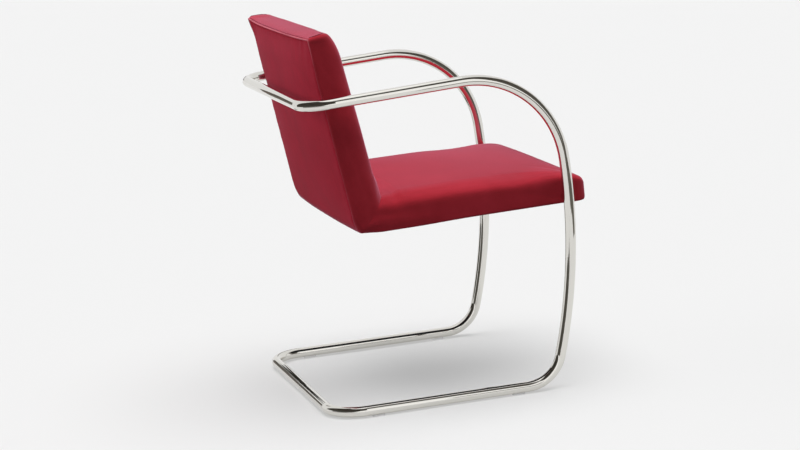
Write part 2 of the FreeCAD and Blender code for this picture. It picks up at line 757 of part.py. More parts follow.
def build():
    """Every piece of the chair by its name."""
    parts = {}
    right_tube = make_frame_tube()
    solid_tube = frame_half(tube_r, 0)
    parts["frame_tube_right"] = right_tube
    parts["frame_tube_left"] = mirrored(right_tube)
    parts["top_joint_spigot"] = make_spigot(Vector(0, top_bar_y, top_bar_z))
    parts["floor_joint_spigot"] = make_spigot(Vector(0, floor_bar_y, floor_z))
    for end, place in glide_places().items():
        glide = make_glide(place, solid_tube)
        parts["glide_" + end + "_right"] = glide
        parts["glide_" + end + "_left"] = mirrored(glide)

    leg_point, arm_point = leg_boss_place(), arm_boss_place()
    for name, point in (("leg", leg_point), ("arm", arm_point)):
        boss = make_boss(point, solid_tube)
        parts[name + "_boss_right"] = boss
        parts[name + "_boss_left"] = mirrored(boss)
    for name, point in (("seat", leg_point), ("back", arm_point)):
        parts[name + "_bolts"] = both_sides([make_bolt(point)])
        parts[name + "_bolt_washers"] = both_sides([make_washer(point)])

    seat_webbing = Webbing(seat, seat_rail_top, (rear_rail_start, front_rail_end),
                           seat_long_strap_count, seat_cross_strap_count)
    back_webbing = Webbing(back, back_rail_top, (lower_rail_height, top_rail_end),
                           back_long_strap_count, back_cross_strap_count)
    seat_rail = seat_webbing.drilled(make_seat_rail(leg_point))
    back_rail = back_webbing.drilled(make_back_rail(arm_point))
    parts["seat_rail_right"] = seat_rail
    parts["seat_rail_left"] = mirrored(seat_rail)
    parts["back_rail_right"] = back_rail
    parts["back_rail_left"] = mirrored(back_rail)
    seat_span = (cloth, seat_rail_top + strap_thick)
    back_span = (back_rail_base, back_rail_top + strap_thick)
    parts["seat_front_rail"] = seat_webbing.drilled(cross_rail(seat, front_rail_end - rail_width, seat_span))
    parts["seat_rear_rail"] = seat_webbing.drilled(cross_rail(seat, rear_rail_start, seat_span))
    parts["back_lower_rail"] = back_webbing.drilled(cross_rail(back, lower_rail_height, back_span))
    parts["back_top_rail"] = back_webbing.drilled(cross_rail(back, top_rail_end - rail_width, back_span))
    gusset = make_gusset()
    parts["fold_gusset_right"] = gusset
    parts["fold_gusset_left"] = mirrored(gusset)
    for name, webbing in (("seat", seat_webbing), ("back", back_webbing)):
        parts[name + "_webbing_long"] = webbing.straps(True)
        parts[name + "_webbing_cross"] = webbing.straps(False)
        parts[name + "_webbing_screws"] = webbing.screws()

    boss_points = (leg_point, arm_point)
    inner_form = unit_form(cloth)
    front, rear, under = split_cover(unit_form(0), inner_form)
    parts["front_cover"] = mirrored(pierced(mirrored(pierced(front, boss_points)), boss_points))
    parts["rear_cover"] = rear
    parts["underside_cover"] = under
    foams = split_foam(inner_form)
    foams["side_foam_right"] = pierced(foams["side_foam_right"], boss_points).cut(gusset)
    for foam, webbing in (("seat_foam", seat_webbing), ("back_foam", back_webbing)):
        for space in webbing.pockets() + [gusset, mirrored(gusset)]:
            foams[foam] = foams[foam].cut(space)
    parts.update(foams)
    parts["side_foam_left"] = mirrored(foams["side_foam_right"])
    return parts


os.makedirs("parts", exist_ok=True)
for node, shape in build().items():
    shape.exportStep("parts/" + node + ".step")
    print(node, len(shape.Solids), shape.isValid(), round(shape.Volume))
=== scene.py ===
import logging
import math
from dataclasses import dataclass, field
from enum import Enum
from typing import Any, Callable, Sequence

import bmesh
import bpy
from mathutils import Matrix, Vector, noise


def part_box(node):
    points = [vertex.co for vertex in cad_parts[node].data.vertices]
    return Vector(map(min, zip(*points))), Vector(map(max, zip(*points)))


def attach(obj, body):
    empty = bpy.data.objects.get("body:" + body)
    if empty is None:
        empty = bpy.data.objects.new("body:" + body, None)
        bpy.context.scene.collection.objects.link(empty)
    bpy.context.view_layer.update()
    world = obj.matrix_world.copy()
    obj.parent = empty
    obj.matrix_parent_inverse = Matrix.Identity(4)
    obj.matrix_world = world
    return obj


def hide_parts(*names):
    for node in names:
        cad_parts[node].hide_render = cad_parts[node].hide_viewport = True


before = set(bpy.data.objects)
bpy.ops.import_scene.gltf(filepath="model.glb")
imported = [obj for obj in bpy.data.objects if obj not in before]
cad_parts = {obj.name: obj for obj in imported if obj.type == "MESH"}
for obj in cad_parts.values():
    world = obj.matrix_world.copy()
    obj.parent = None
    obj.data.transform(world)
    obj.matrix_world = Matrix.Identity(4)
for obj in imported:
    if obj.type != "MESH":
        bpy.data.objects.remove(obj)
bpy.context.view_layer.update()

log = logging.getLogger("armchair")
MM = 0.001
# How long a curve's handle is for a quarter of a circle, as a share of its radius.
QUARTER_HANDLE = 0.5523
Pair = tuple[float, float]
# Places and the values there, in rising order of place.
Keys = tuple[Pair, ...]


def linear(hex_colour: str) -> tuple[float, float, float, float]:
    """Turn an sRGB hex colour into linear RGBA.

    Args:
        hex_colour: A colour such as "#C4485C".

    Returns:
        Red, green, blue and alpha, from 0 to 1.
    """
    channels = [int(hex_colour[start:start + 2], 16) / 255 for start in (1, 3, 5)]
    values = [c / 12.92 if c <= 0.04045 else ((c + 0.055) / 1.055) ** 2.4 for c in channels]
    return values[0], values[1], values[2], 1.0


def add_node(tree: bpy.types.NodeTree, kind: str, settings: dict[Any, Any] | None = None,
             links: dict[Any, bpy.types.NodeSocket] | None = None) -> bpy.types.Node:
    """Add one node with its settings and links.

    Args:
        tree: The node tree.
        kind: The node's type, without its "ShaderNode" prefix.
        settings: Values by the name of a property or an input, or by an input's number.
        links: Output sockets by the input that they go into.

    Returns:
        The new node.
    """
    node = tree.nodes.new("ShaderNode" + kind)
    for name, value in (settings or {}).items():
        if isinstance(name, str) and name in node.bl_rna.properties:
            setattr(node, name, value)
        else:
            node.inputs[name].default_value = value
    for name, socket in (links or {}).items():
        tree.links.new(socket, node.inputs[name])
    return node


def seen_rays(tree: bpy.types.NodeTree) -> bpy.types.NodeSocket:
    """Tell what is seen, straight or in a mirror or glass, from what only throws light back.

    Args:
        tree: The node tree.

    Returns:
        A socket that is 1 for camera, glossy and transmission rays, and 0 for the others.
    """
    rays = add_node(tree, "LightPath").outputs
    mirrored = add_node(tree, "Math", {"operation": "MAXIMUM"},
                        {0: rays["Is Glossy Ray"], 1: rays["Is Transmission Ray"]})
    seen = add_node(tree, "Math", {"operation": "MAXIMUM"},
                    {0: rays["Is Camera Ray"], 1: mirrored.outputs[0]})
    return seen.outputs[0]


# Finishes


@dataclass(frozen=True)
class Finish:
    """A surface finish, made as one procedural material."""

    name: str

    def wire(self, tree: bpy.types.NodeTree) -> bpy.types.NodeSocket:
        """Make the finish's nodes.

        Args:
            tree: The material's node tree.

        Returns:
            The surface's socket.
        """
        raise NotImplementedError

    def material(self) -> bpy.types.Material:
        """Return the finish's material, made once.

        Returns:
            The material with its nodes wired to the output.
        """
        made = bpy.data.materials.get(self.name)
        if made is None:
            made = bpy.data.materials.new(self.name)
            made.use_nodes = True
            made.node_tree.nodes.clear()
            surface = self.wire(made.node_tree)
            add_node(made.node_tree, "OutputMaterial", links={"Surface": surface})
        return made

    def dress(self, piece: bpy.types.Object) -> None:
        """Give a piece this finish in place of what it has.

        Args:
            piece: The piece, whose mesh gets the material.
        """
        piece.data.materials.clear()
        piece.data.materials.append(self.material())


@dataclass(frozen=True)
class PolishedChrome(Finish):
    """Chrome plate over buffed steel tube: a bright, faintly warm mirror with soft polishing waves."""

    name: str = "steel_tube_buffed_and_chrome_plated"
    colour: str = "#DEDCD6"
    smooth: float = 0.03
    smeared: float = 0.06
    smear_size: float = 45 * MM
    wave_size: float = 11 * MM
    wave_height: float = 0.02 * MM

    def wire(self, tree: bpy.types.NodeTree) -> bpy.types.NodeSocket:
        """Wire the mirror: smears in its roughness, and buffing waves in its bump.

        Args:
            tree: The material's node tree.

        Returns:
            The surface's socket.
        """
        where = add_node(tree, "TexCoord").outputs["Object"]
        smears = add_node(tree, "TexNoise", {"Scale": 1 / self.smear_size, "Detail": 4.0}, {"Vector": where})
        rough = add_node(tree, "MapRange", {"From Min": 0.35, "From Max": 0.7, "To Min": self.smooth,
                                            "To Max": self.smeared}, {"Value": smears.outputs["Fac"]})
        waves = add_node(tree, "TexNoise", {"Scale": 1 / self.wave_size, "Detail": 1.0}, {"Vector": where})
        bump = add_node(tree, "Bump", {"Strength": 0.6, "Distance": self.wave_height},
                        {"Height": waves.outputs["Fac"]})
        metal = add_node(tree, "BsdfPrincipled", {"Base Color": linear(self.colour), "Metallic": 1.0},
                         {"Roughness": rough.outputs["Result"], "Normal": bump.outputs["Normal"]})
        return metal.outputs["BSDF"]


@dataclass(frozen=True)
class ShortPileVelvet(Finish):
    """Cotton velvet with a short pile: deep colour face on, and a pale bloom where it turns away."""

    name: str = "cotton_velvet_woven_with_short_pile"
    colour: str = "#B2232F"
    brushed: str = "#C22E3C"
    bloom: str = "#F6AECB"
    bloom_weight: float = 1.0
    bloom_spread: float = 0.44
    hand_size: float = 130 * MM
    nap_width: float = 5 * MM
    nap_length: float = 34 * MM
    # The pile's tufts stand 0.4 mm apart. They are drawn 1.3 mm apart, so that they show at all.
    tuft_size: float = 1.3 * MM
    tuft_height: float = 0.25 * MM

    def wire(self, tree: bpy.types.NodeTree) -> bpy.types.NodeSocket:
        """Wire the cloth: brushed patches and nap streaks in its colour, tufts in its bump.

        Args:
            tree: The material's node tree.

        Returns:
            The surface's socket.
        """
        where = add_node(tree, "TexCoord").outputs["Object"]
        patches = add_node(tree, "TexNoise", {"Scale": 1 / self.hand_size, "Detail": 3.0,
                                              "Distortion": 0.8}, {"Vector": where})
        stretched = add_node(tree, "Mapping", {"Scale": (1 / self.nap_width, 1 / self.nap_length,
                                                         1 / self.nap_length)}, {"Vector": where})
        streaks = add_node(tree, "TexNoise", {"Scale": 1.0, "Detail": 3.0},
                           {"Vector": stretched.outputs["Vector"]})
        tufts = add_node(tree, "TexNoise", {"Scale": 1 / self.tuft_size, "Detail": 2.0}, {"Vector": where})
        lay = add_node(tree, "Mix", {"data_type": "FLOAT", "Factor": 0.35},
                       {2: patches.outputs["Fac"], 3: streaks.outputs["Fac"]})
        share = add_node(tree, "MapRange", {"From Min": 0.36, "From Max": 0.66}, {"Value": lay.outputs[0]})
        cloth = add_node(tree, "Mix", {"data_type": "RGBA", 6: linear(self.colour),
                                       7: linear(self.brushed)}, {0: share.outputs["Result"]})
        speckle = add_node(tree, "MapRange", {"From Min": 0.3, "From Max": 0.7, "To Min": 0.9,
                                              "To Max": 1.08}, {"Value": tufts.outputs["Fac"]})
        shade = add_node(tree, "HueSaturation", {}, {"Color": cloth.outputs[2],
                                                     "Value": speckle.outputs["Result"]})
        rough = add_node(tree, "MapRange", {"To Min": 0.78, "To Max": 0.92},
                         {"Value": share.outputs["Result"]})
        bump = add_node(tree, "Bump", {"Strength": 0.5, "Distance": self.tuft_height},
                        {"Height": tufts.outputs["Fac"]})
        pile = add_node(tree, "BsdfPrincipled", {
            "IOR": 1.45, "Specular IOR Level": 0.12, "Sheen Weight": self.bloom_weight,
            "Sheen Roughness": self.bloom_spread, "Sheen Tint": linear(self.bloom),
        }, {"Base Color": shade.outputs["Color"], "Roughness": rough.outputs["Result"],
            "Normal": bump.outputs["Normal"]})
        return pile.outputs["BSDF"]


@dataclass(frozen=True)
class WovenLining(Finish):
    """Black polypropylene dust cloth, thin and matt, with a plain weave."""

    name: str = "polypropylene_lining_plain_woven"
    colour: str = "#1B1B1D"
    raised: str = "#2A2A2D"
    # The threads lie 0.7 mm apart. They are drawn 1.4 mm apart, so that they show at all.
    thread: float = 1.4 * MM
    thread_height: float = 0.2 * MM

    def wire(self, tree: bpy.types.NodeTree) -> bpy.types.NodeSocket:
        """Wire the weave: two crossed sets of threads in colour and bump.

        Args:
            tree: The material's node tree.

        Returns:
            The surface's socket.
        """
        where = add_node(tree, "TexCoord").outputs["Object"]
        scale = 1 / (self.thread * 2 * math.pi)
        across = add_node(tree, "TexWave", {"bands_direction": "X", "Scale": scale}, {"Vector": where})
        along = add_node(tree, "TexWave", {"bands_direction": "Y", "Scale": scale}, {"Vector": where})
        weave = add_node(tree, "Math", {"operation": "MAXIMUM"},
                         {0: across.outputs["Fac"], 1: along.outputs["Fac"]})
        cloth = add_node(tree, "Mix", {"data_type": "RGBA", 6: linear(self.colour),
                                       7: linear(self.raised)}, {0: weave.outputs[0]})
        bump = add_node(tree, "Bump", {"Strength": 0.4, "Distance": self.thread_height},
                        {"Height": weave.outputs[0]})
        matt = add_node(tree, "BsdfPrincipled", {"Roughness": 0.85, "IOR": 1.49},
                        {"Base Color": cloth.outputs[2], "Normal": bump.outputs["Normal"]})
        return matt.outputs["BSDF"]


@dataclass(frozen=True)
class ElasticWebbing(Finish):
    """Rubber-cored webbing with a woven face: pale, with ribs along each strap."""

    name: str = "elastic_webbing_woven_over_rubber"
    colour: str = "#B9AE98"
    rib: str = "#6E6558"
    rib_size: float = 3 * MM
    rib_height: float = 0.3 * MM

    def wire(self, tree: bpy.types.NodeTree) -> bpy.types.NodeSocket:
        """Wire the ribs in colour and bump.

        Args:
            tree: The material's node tree.

        Returns:
            The surface's socket.
        """
        where = add_node(tree, "TexCoord").outputs["Object"]
        ribs = add_node(tree, "TexWave", {"Scale": 1 / (self.rib_size * 2 * math.pi), "Distortion": 0.3},
                        {"Vector": where})
        cloth = add_node(tree, "Mix", {"data_type": "RGBA", 6: linear(self.colour), 7: linear(self.rib)},
                         {0: ribs.outputs["Fac"]})
        bump = add_node(tree, "Bump", {"Strength": 0.5, "Distance": self.rib_height},
                        {"Height": ribs.outputs["Fac"]})
        strap = add_node(tree, "BsdfPrincipled", {"Roughness": 0.8, "IOR": 1.5},
                         {"Base Color": cloth.outputs[2], "Normal": bump.outputs["Normal"]})
        return strap.outputs["BSDF"]


@dataclass(frozen=True)
class MouldedNylon(Finish):
    """Milky clear nylon, injection moulded: the floor shows through it, dimmed by a fine moulded grain."""

    name: str = "nylon_milky_clear_injection_moulded"
    colour: str = "#F6F6F4"
    scuffed: str = "#E9E8E9"
    grain: float = 0.6 * MM
    grain_height: float = 0.05 * MM
    scuff_size: float = 8 * MM

    def wire(self, tree: bpy.types.NodeTree) -> bpy.types.NodeSocket:
        """Wire the grain in bump, and scuffs in colour.

        Args:
            tree: The material's node tree.

        Returns:
            The surface's socket.
        """
        where = add_node(tree, "TexCoord").outputs["Object"]
        grit = add_node(tree, "TexNoise", {"Scale": 1 / self.grain, "Detail": 2.0}, {"Vector": where})
        scuffs = add_node(tree, "TexNoise", {"Scale": 1 / self.scuff_size, "Detail": 4.0}, {"Vector": where})
        plastic = add_node(tree, "Mix", {"data_type": "RGBA", 6: linear(self.colour),
                                         7: linear(self.scuffed)}, {0: scuffs.outputs["Fac"]})
        bump = add_node(tree, "Bump", {"Strength": 0.3, "Distance": self.grain_height},
                        {"Height": grit.outputs["Fac"]})
        satin = add_node(tree, "BsdfPrincipled", {"Roughness": 0.3, "IOR": 1.53, "Transmission Weight": 0.9},
                         {"Base Color": plastic.outputs[2], "Normal": bump.outputs["Normal"]})
        return satin.outputs["BSDF"]


@dataclass(frozen=True)
class HiddenMetal(Finish):
    """Steel that the cloth hides: mottled by its coat, with a bump as coarse as the coat's grain."""

    colour: str = "#808080"
    mottle: str = "#707070"
    metallic: float = 1.0
    roughness: tuple[float, float] = (0.3, 0.5)
    grain: float = 1.5 * MM
    grain_height: float = 0.05 * MM
    spot_size: float = 12 * MM

    def wire(self, tree: bpy.types.NodeTree) -> bpy.types.NodeSocket:
        """Wire the coat: mottle in colour and roughness, grain in bump.

        Args:
            tree: The material's node tree.

        Returns:
            The surface's socket.
        """
        where = add_node(tree, "TexCoord").outputs["Object"]
        spots = add_node(tree, "TexNoise", {"Scale": 1 / self.spot_size, "Detail": 5.0}, {"Vector": where})
        coat = add_node(tree, "Mix", {"data_type": "RGBA", 6: linear(self.colour), 7: linear(self.mottle)},
                        {0: spots.outputs["Fac"]})
        rough = add_node(tree, "MapRange", {"To Min": self.roughness[0], "To Max": self.roughness[1]},
                         {"Value": spots.outputs["Fac"]})
        grit = add_node(tree, "TexNoise", {"Scale": 1 / self.grain, "Detail": 2.0}, {"Vector": where})
        bump = add_node(tree, "Bump", {"Strength": 0.4, "Distance": self.grain_height},
                        {"Height": grit.outputs["Fac"]})
        metal = add_node(tree, "BsdfPrincipled", {"Metallic": self.metallic},
                         {"Base Color": coat.outputs[2], "Roughness": rough.outputs["Result"],
                          "Normal": bump.outputs["Normal"]})
        return metal.outputs["BSDF"]


class Coat(Enum):
    """The coats of the hidden steel."""

    # Bright zinc plate, barrel plated: bluish silver with small bright crystals.
    ZINC = HiddenMetal("steel_zinc_plated", "#C3C7CC", "#A9AEB6", 1.0, (0.25, 0.45))
    # Black enamel, dipped and baked: a dark skin with a low gloss and slight orange peel.
    ENAMEL = HiddenMetal("steel_black_enamelled", "#151617", "#202122", 0.0, (0.3, 0.42), 4 * MM, 0.08 * MM)
    # Drawn steel with a film of oil: grey, with a dull gloss.
    DRAWN = HiddenMetal("steel_tube_cold_drawn", "#8F8E8B", "#74726F", 1.0, (0.3, 0.55))


@dataclass(frozen=True)
class StudioPaper(Finish):
    """Pale studio paper, plain and matt, which looks the same in a mirror as it does to the eye.

    It is lit a little from behind, so that the chair's shadow on it stays faint, and it throws back less
    light than it shows, so that it doesn't brighten the chair from below.
    """

    name: str = "studio_paper_matt"
    seen: str = "#E6E6E6"
    bounced: str = "#706E6D"
    glow: str = "#F3F3F3"
    glow_share: float = 0.42

    def wire(self, tree: bpy.types.NodeTree) -> bpy.types.NodeSocket:
        """Wire a pale paper for what is seen, and a darker one for the light that it throws back.

        Args:
            tree: The material's node tree.

        Returns:
            The surface's socket.
        """
        seen = seen_rays(tree)
        tone = add_node(tree, "Mix", {"data_type": "RGBA", 6: linear(self.bounced), 7: linear(self.seen)},
                        {0: seen})
        paper = add_node(tree, "BsdfDiffuse", {}, {"Color": tone.outputs[2]})
        glow = add_node(tree, "Emission", {"Color": linear(self.glow)})
        share = add_node(tree, "Math", {"operation": "MULTIPLY", 1: self.glow_share}, {0: seen})
        lit = add_node(tree, "MixShader", {}, {0: share.outputs[0], 1: paper.outputs["BSDF"],
                                               2: glow.outputs["Emission"]})
        return lit.outputs["Shader"]


@dataclass(frozen=True)
class FlagCloth(Finish):
    """Matt cotton flag cloth off the set, which draws the dark and grey lines in the polished tube."""

    name: str = "studio_flag_dark_grey"
    colour: str = "#6A6860"

    def wire(self, tree: bpy.types.NodeTree) -> bpy.types.NodeSocket:
        """Wire one plain tone.

        Args:
            tree: The material's node tree.

        Returns:
            The surface's socket.
        """
        cloth = add_node(tree, "BsdfDiffuse", {"Color": linear(self.colour), "Roughness": 1.0})
        return cloth.outputs["BSDF"]


@dataclass(frozen=True)
class Softbox(Finish):
    """White diffuser cloth of a softbox, which draws the bright lines in the polished tube."""

    name: str = "studio_softbox_diffuser"
    strength: float = 1.28

    def wire(self, tree: bpy.types.NodeTree) -> bpy.types.NodeSocket:
        """Wire an even white glow.

        Args:
            tree: The material's node tree.

        Returns:
            The surface's socket.
        """
        cloth = add_node(tree, "Emission", {"Color": (1, 1, 1, 1), "Strength": self.strength})
        return cloth.outputs["Emission"]


@dataclass(frozen=True)
class SeamShadeThread(Finish):
    """Polyester thread along the dart seams, spun, with a low lustre: its dark red is painted shade, the dark
    line where each seam dips into the velvet.
    """

    name: str = "polyester_thread_painted_seam_shade"
    colour: str = "#5E1420"
    lit: str = "#7A2230"
    ply: float = 1.2 * MM

    def wire(self, tree: bpy.types.NodeTree) -> bpy.types.NodeSocket:
        """Wire the ply in colour.

        Args:
            tree: The material's node tree.

        Returns:
            The surface's socket.
        """
        where = add_node(tree, "TexCoord").outputs["Object"]
        plies = add_node(tree, "TexNoise", {"Scale": 1 / self.ply, "Detail": 1.0}, {"Vector": where})
        tone = add_node(tree, "Mix", {"data_type": "RGBA", 6: linear(self.colour), 7: linear(self.lit)},
                        {0: plies.outputs["Fac"]})
        thread = add_node(tree, "BsdfPrincipled", {"Roughness": 0.6, "IOR": 1.55, "Specular IOR Level": 0.3},
                          {"Base Color": tone.outputs[2]})
        return thread.outputs["BSDF"]


class Flag(Enum):
    """The flags' tones, from the darkest line that they draw to the palest."""

    DARK = FlagCloth()
    GREY = FlagCloth("studio_flag_grey", "#9C9990")
    LIGHT = FlagCloth("studio_flag_light_grey", "#C8C4BA")
    PALE = FlagCloth("studio_flag_pale", "#D8D6D0")


CHROME = PolishedChrome()
VELVET = ShortPileVelvet()
# The rear panel's pile is brushed down flat, so it hardly blooms. Its colour is painted lighter than the
# cover's velvet: painted light on the back's rear face.
FLAT_VELVET_PAINTED_LIGHTER = ShortPileVelvet("cotton_velvet_pile_brushed_down_painted_lighter", "#BE2438", "#D03045", bloom_weight=0.2)
# On the welt the velvet is painted much paler than the cover's: a painted highlight along the cord, where it
# catches the light from above.
WELT_VELVET_PAINTED_HIGHLIGHT = ShortPileVelvet("cotton_velvet_painted_highlight_over_cord", "#D8606E", "#E67C88", bloom_weight=0.5)
# Dark thread along the dart seams: painted shade in the seams' grooves.
SEAM_SHADE_THREAD = SeamShadeThread()
LINING = WovenLining()
WEBBING = ElasticWebbing()
NYLON = MouldedNylon()


# Meshes


def add_piece(name: str, points: Sequence[Vector], faces: Sequence[Sequence[int]], finish: Finish,
              closed: bool = True) -> bpy.types.Object:
    """Make one smooth-shaded piece.

    Args:
        name: The piece's name.
        points: Its vertices.
        faces: Its faces, as vertex numbers.
        finish: Its finish.
        closed: Whether the mesh closes on itself, so that its normals can be turned outwards.

    Returns:
        The new object.
    """
    mesh = bpy.data.meshes.new(name)
    mesh.from_pydata([tuple(point) for point in points], [], faces)
    work = bmesh.new()
    work.from_mesh(mesh)
    if closed:
        bmesh.ops.recalc_face_normals(work, faces=work.faces)
    for face in work.faces:
        face.smooth = True
    work.to_mesh(mesh)
    work.free()
    piece = bpy.data.objects.new(name, mesh)
    bpy.context.scene.collection.objects.link(piece)
    finish.dress(piece)
    return piece


def set_points(piece: bpy.types.Object, points: Sequence[Vector]) -> None:
    """Move a piece's points."""
    piece.data.vertices.foreach_set("co", [value for point in points for value in point])
    piece.data.update()


def normals_of(piece: bpy.types.Object) -> list[Vector]:
    """Return the normal at each point of a piece."""
    return [vertex.normal.copy() for vertex in piece.data.vertices]


def smooth_step(share: float) -> float:
    """Ease a share from 0 to 1, clamped at both ends."""
    share = min(max(share, 0.0), 1.0)
    return share * share * (3 - 2 * share)


def between_keys(keys: Keys, place: float) -> float:
    """Read a value between keys, eased from each to the next.

    Args:
        keys: Pairs of place and value, in rising order of place.
        place: Where to read.

    Returns:
        The value there.
    """
    for (low, first), (high, second) in zip(keys, keys[1:]):
        if place <= high:
            return first + (second - first) * smooth_step((place - low) / (high - low))
    return keys[-1][1]


def evenly(start: float, end: float, step: float) -> list[float]:
    """Return even places from start to end, both included, about step apart."""
    count = max(1, round(abs(end - start) / step))
    return [start + (end - start) * index / count for index in range(count + 1)]


def mixed(first: Sequence[float], second: Sequence[float], share: float) -> tuple[float, ...]:
    """Mix two rows of numbers, from the first at 0 to the second at 1."""
    return tuple(a + (b - a) * share for a, b in zip(first, second))


def rounded_edge(start: Pair, slope: float, end: Pair, cells: int) -> list[Pair]:
    """Return the points of a rounded edge, from a sloping face to an upright side.

    Args:
        start: The face's edge: its distance from the middle, and its level.
        slope: The level that the face gains there per distance outwards.
        end: Where the side begins.
        cells: How many cells the edge has.

    Returns:
        The points from start to end, both included.
    """
    reach = (end[0] - start[0]) * QUARTER_HANDLE
    knots = (start, (start[0] + reach, start[1] + reach * slope),
             (end[0], end[1] - (end[1] - start[1]) * QUARTER_HANDLE), end)
    points = []
    for cell in range(cells + 1):
        t = cell / cells
        weights = ((1 - t) ** 3, 3 * t * (1 - t) ** 2, 3 * t * t * (1 - t), t ** 3)
        points.append(tuple(sum(w * knot[axis] for w, knot in zip(weights, knots)) for axis in (0, 1)))
    return points


def sweep(path: Sequence[Vector], radii: Sequence[float], sides: int) -> tuple[list[Vector], list[list[int]]]:
    """Sweep a round section along a path, with closed ends.

    Args:
        path: Points of the centre line.
        radii: The section's radius at each point.
        sides: How many sides the section has.

    Returns:
        The points and the faces.
    """
    points, faces = [], []
    side = Vector((0, 0, 1))
    for index, (centre, radius) in enumerate(zip(path, radii)):
        ahead = path[min(index + 1, len(path) - 1)] - path[max(index - 1, 0)]
        ahead.normalize()
        side = (side - ahead * side.dot(ahead)).normalized()
        other = ahead.cross(side)
        for turn in range(sides):
            angle = 2 * math.pi * turn / sides
            points.append(centre + (side * math.cos(angle) + other * math.sin(angle)) * radius)
    for row in range(len(path) - 1):
        for turn in range(sides):
            following = (turn + 1) % sides
            faces.append([row * sides + turn, row * sides + following,
                          (row + 1) * sides + following, (row + 1) * sides + turn])
    faces.append(list(range(sides)))
    faces.append([(len(path) - 1) * sides + turn for turn in range(sides)])
    return points, faces


# Upholstery


class Zone(Enum):
    """Where a cross-section of the padded unit lies."""

    SEAT = "seat"
    FOLD = "fold"
    BACK = "back"


@dataclass
class Limb:
    """The seat or the back, seen from the unit's rear lower corner.

    along runs on the outer face away from the corner, and inward runs from that face into the pad. The
    rolls are for the outer face, the inner face and the sides: before the limb's end, over which length
    and by how much each comes in. The edges are those of a Station.
    """

    zone: Zone
    corner: Vector
    along: Vector
    inward: Vector
    depth: float
    thick: float
    rolls: tuple[Pair, ...]
    edges: tuple[Pair, Pair]

    def at(self, u: float, v: float) -> Vector:
        """Return the point of the chair's middle plane at u along the limb and v into it."""
        return self.corner + self.along * u + self.inward * v


@dataclass
class Station:
    """One cross-section of the unit: its outer and inner middle, half width, crowns and edges.

    An edge is how far its rounding reaches across the face, and down the side.
    """

    outer: Vector
    inner: Vector
    half: float
    crowns: Pair
    edges: tuple[Pair, Pair]
    zone: Zone
    place: float


# The cover as cloth: it hardly stretches, and the stuffing presses it out from inside.
COVER_CLOTH: dict[str, Any] = {
    "quality": 5, "mass": 0.35, "tension_stiffness": 25, "compression_stiffness": 25,
    "bending_stiffness": 1.5, "use_pressure": True, "uniform_pressure_force": 4,
}


